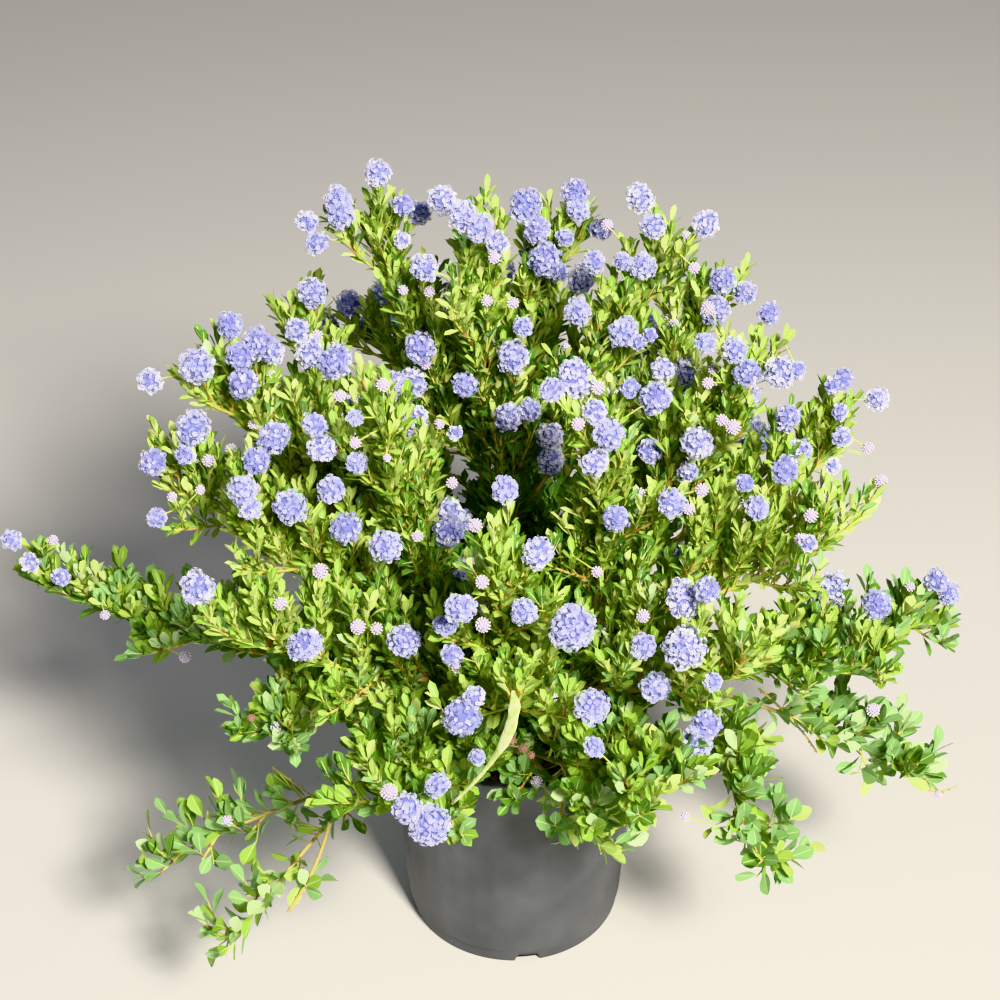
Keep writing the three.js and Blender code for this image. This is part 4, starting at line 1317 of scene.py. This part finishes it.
def leaf_piece(section, masses):
    """All leaves of a section's masses in one piece."""
    rng = draws(len(section), 2)
    roots, directions, uppers, lengths, tints = (
        np.concatenate([mass["leaves"][i] for mass in masses]) for i in range(5))
    slender = rng.uniform(*LEAF["slender"], len(roots))
    slender = slender * between(LEAF["low_slender"], LEAF["high_slender"], roots[:, 2])
    inner, low = tints == SHADED_INNER_LEAF, roots[:, 2] < LEAF["broad_below"]
    parts = []
    for own, stations in (
            (inner, INNER_STATIONS), (~inner & ~low, PLAIN_STATIONS), (~inner & low, ROUND_STATIONS)):
        values = [whole[own] for whole in (roots, directions, uppers, lengths, slender, tints)]
        parts.append(leaf_blades(*values, stations, rng))
    foliage_object("leaves", section, masses, parts, LEAF_FINISHES)


def stalks_to(flowers):
    """Short curves from each shoot's tip into the flower head or bud that it carries."""
    tips = np.array([flower[3] for flower in flowers])
    ends = np.array([flower[0] for flower in flowers])
    return np.stack([tips, (tips + ends) / 2 + UP * 0.5, ends], axis=1)


def single_shoots(rng):
    """The single shoots of SINGLE_SHOOTS, and small dry bud scales that stand out at their joints."""
    finishes = {"tan": TAN_TWIG, "brown": OLD_TWIG}
    parts, scales = [], []
    for points, base, tip, finish in SINGLE_SHOOTS.values():
        curve = np.array(points, float)
        parts.append(tubes([curve], base, tip, sides=8, steps=16, finish=finishes[finish]))
        count = round(length_of(curve) / KNOBS["spacing"])
        for share in (np.arange(count) + rng.uniform(*GROWTH["place"], count)) / count:
            start = points_on(curve, [share])[0]
            way = opened_from(curve, share, KNOBS["opening"], rng.uniform(0, math.tau))
            scales.append(rising_curve(start, way, KNOBS["length"] * rng.uniform(0.7, 1.2), 0.2))
    parts.append(tubes(scales, KNOBS["radius"], KNOBS["radius"] * 0.5, sides=5, steps=2, finish=JOINT))
    return parts


def twig_piece(section, masses):
    """All stems, twigs, fine shoots and flower stalks of a section's masses in one piece.

    A stem is old at its foot and green at its tip, and the others are of mixed ages from step to step.
    """
    rng = draws(len(section), 3)
    stems = [mass["stem"]["curve"] for mass in masses]
    girths = [mass["stem"]["girth"] for mass in masses]
    ages = np.repeat([OLD_TWIG, TAN_TWIG, GREEN_TWIG], [6, 5, 7])
    parts = [tubes(stems, STEM["base"], STEM["tip"], 8, len(ages), ages, girths)]
    twigs = [curve for mass in masses for curve in mass["stem"]["twigs"]]
    branchlets = [curve for mass in masses for curve in mass["branchlets"]]
    shoots = [curve for mass in masses for curve, _ in mass["shoots"]]
    for curves, sizes, sides, steps, shares in (
            (twigs, TWIG, 6, 8, (0.45, 0.45, 0.1)),
            (branchlets, BRANCHLET, 5, 6, (0.4, 0.5, 0.1)),
            (shoots, SHOOT, 3, 3, (0.25, 0.6, 0.15))):
        finish = rng.choice([TAN_TWIG, GREEN_TWIG, JOINT], (len(curves), steps), p=shares)
        parts.append(tubes(curves, sizes["base"], sizes["tip"], sides, steps, finish))
    flowers = [flower for mass in masses for flower in mass["heads"] + mass["buds"]]
    spent = [head for mass in masses for head in mass["spent"]]
    for carried, finish in ((flowers, GREEN_TWIG), (spent, OLD_TWIG)):
        if carried:
            girth = PEDUNCLE["radius"]
            parts.append(tubes(stalks_to(carried), girth, girth, sides=5, steps=2, finish=finish))
    if section == "skirt":
        parts += [flat_shoot(**FLAT_SHOOT), *single_shoots(rng)]
    foliage_object("twigs", section, masses, parts, TWIG_FINISHES)


def blossom_piece(section, masses):
    """All flower heads, buds and spent heads of a section's masses in one piece."""
    rng = draws(len(section), 5)
    heads, buds, spent = (
        [flower for mass in masses for flower in mass[kind]] for kind in ("heads", "buds", "spent"))
    parts = []
    if spent:
        parts += [bud_beads(spent, [SPENT], rng), balls(spent, 0.9, SPENT, rows=3, columns=6, rough=0.1)]
    if heads:
        petals = [LIGHT_PETAL, MID_PETAL, DEEP_PETAL]
        # A ball of the flower stalks inside each head, painted darker than the petals as the shade between
        # florets.
        parts += [florets(heads, petals, rng), balls(heads, 0.7, STALKS_AND_SHADE, rows=5, columns=9, rough=0.06)]
    if buds:
        tints = [BUD_PINK, BUD_WHITE]
        parts += [bud_beads(buds, tints, rng), balls(buds, 0.8, BUD_HEART, rows=3, columns=6, rough=0)]
    foliage_object("blossom", section, masses, parts, BLOSSOM_FINISHES)


# ---- Making ----

boughs, stems = grow_limbs()

mesh_object("nursery_pot", ["pot"], [pot_wall(), pot_floor()], [moulded_polypropylene()])
mesh_object("potting_mix", ["soil"], [soil_body(), soil_chips()], [
    potting_mix("potting_mix", "#17100A", "#4A3423"), potting_mix("bark_chips", "#3A2718", "#7A5A3C")])

bark_parts = [trunk_limb()]
for number, (name, curve) in enumerate(boughs.items()):
    girth = GIRTH[BOUGHS[name][0]]
    relief = BARK["relief"] * girth * BOUGH["base"]
    bark_parts.append(bark_limb(curve, girth * BOUGH["base"], girth * BOUGH["tip"], relief, 50 + 2 * number))
mesh_object("bark", ["trunk"] + [f"bough_{name}" for name in boughs], bark_parts, [grey_brown_bark()])

masses = full_growth(stems)
for section, members in SECTIONS.items():
    own = [mass for mass in masses if mass["stem"]["bough"] in members]
    leaf_piece(section, own)
    twig_piece(section, own)
    blossom_piece(section, own)


# ---- Stage, light and camera ----

FLOOR = {"radius": 9000, "sides": 64, "drop": 0.2, "colour": "#CFCDC9"}
LIGHTS = {  # place and size in metres, watts and colour
    "key_light": ((1.15, -2.6, 3.1), 0.8, 350, "#FFF8EC"),
    "fill_light": ((-2.6, -1.6, 1.8), 2.4, 18, "#EAF1FF"),
}
SKY = {"colour": "#E9ECF0", "strength": 0.29}


def studio_floor():
    """A plain pale floor, a large disc with its middle under the pot."""
    ring = turned(FLOOR["radius"], full_turn(FLOOR["sides"]), -FLOOR["drop"])
    mesh = bpy.data.meshes.new("floor")
    mesh.from_pydata((ring * MM).tolist(), [], [list(range(FLOOR["sides"]))])
    floor = bpy.data.objects.new("floor", mesh)
    bpy.context.scene.collection.objects.link(floor)
    material, tree, surface, place = new_material("painted_floor", {"Base Color": linear(FLOOR["colour"])})
    roughen(tree, surface, place, grain=4, low=0.7, high=0.8, height=0.05)
    mesh.materials.append(material)


def area_light(name, place, size, watts, colour):
    """A square soft box that faces the middle of the shrub."""
    light = bpy.data.lights.new(name, "AREA")
    light.size, light.energy, light.color = size, watts, linear(colour)[:3]
    lamp = bpy.data.objects.new(name, light)
    lamp.location = place
    lamp.rotation_euler = (Vector(CAMERA["target"]) - Vector(place)).to_track_quat("-Z", "Y").to_euler()
    bpy.context.scene.collection.objects.link(lamp)


def place_camera():
    """The camera looks down at the shrub from the front, at the angle and distance of CAMERA."""
    data = bpy.data.cameras.new("camera")
    data.lens, data.sensor_width = CAMERA["lens"], CAMERA["sensor"]
    data.clip_start, data.clip_end = 0.05, 60
    camera = bpy.data.objects.new("camera", data)
    camera.location = Vector(CAMERA["target"]) + Vector(BACKWARD) * CAMERA["distance"]
    camera.rotation_euler = (math.pi / 2 - TILT, 0, 0)
    bpy.context.scene.collection.objects.link(camera)
    bpy.context.scene.camera = camera


def light_world():
    """An even pale light from all sides."""
    world = bpy.data.worlds.new("studio")
    world.use_nodes = True
    background = world.node_tree.nodes["Background"]
    background.inputs["Color"].default_value = linear(SKY["colour"])
    background.inputs["Strength"].default_value = SKY["strength"]
    bpy.context.scene.world = world


studio_floor()
for name, (place, size, watts, colour) in LIGHTS.items():
    area_light(name, place, size, watts, colour)
light_world()
place_camera()
bpy.context.scene.view_settings.view_transform = "Khronos PBR Neutral"
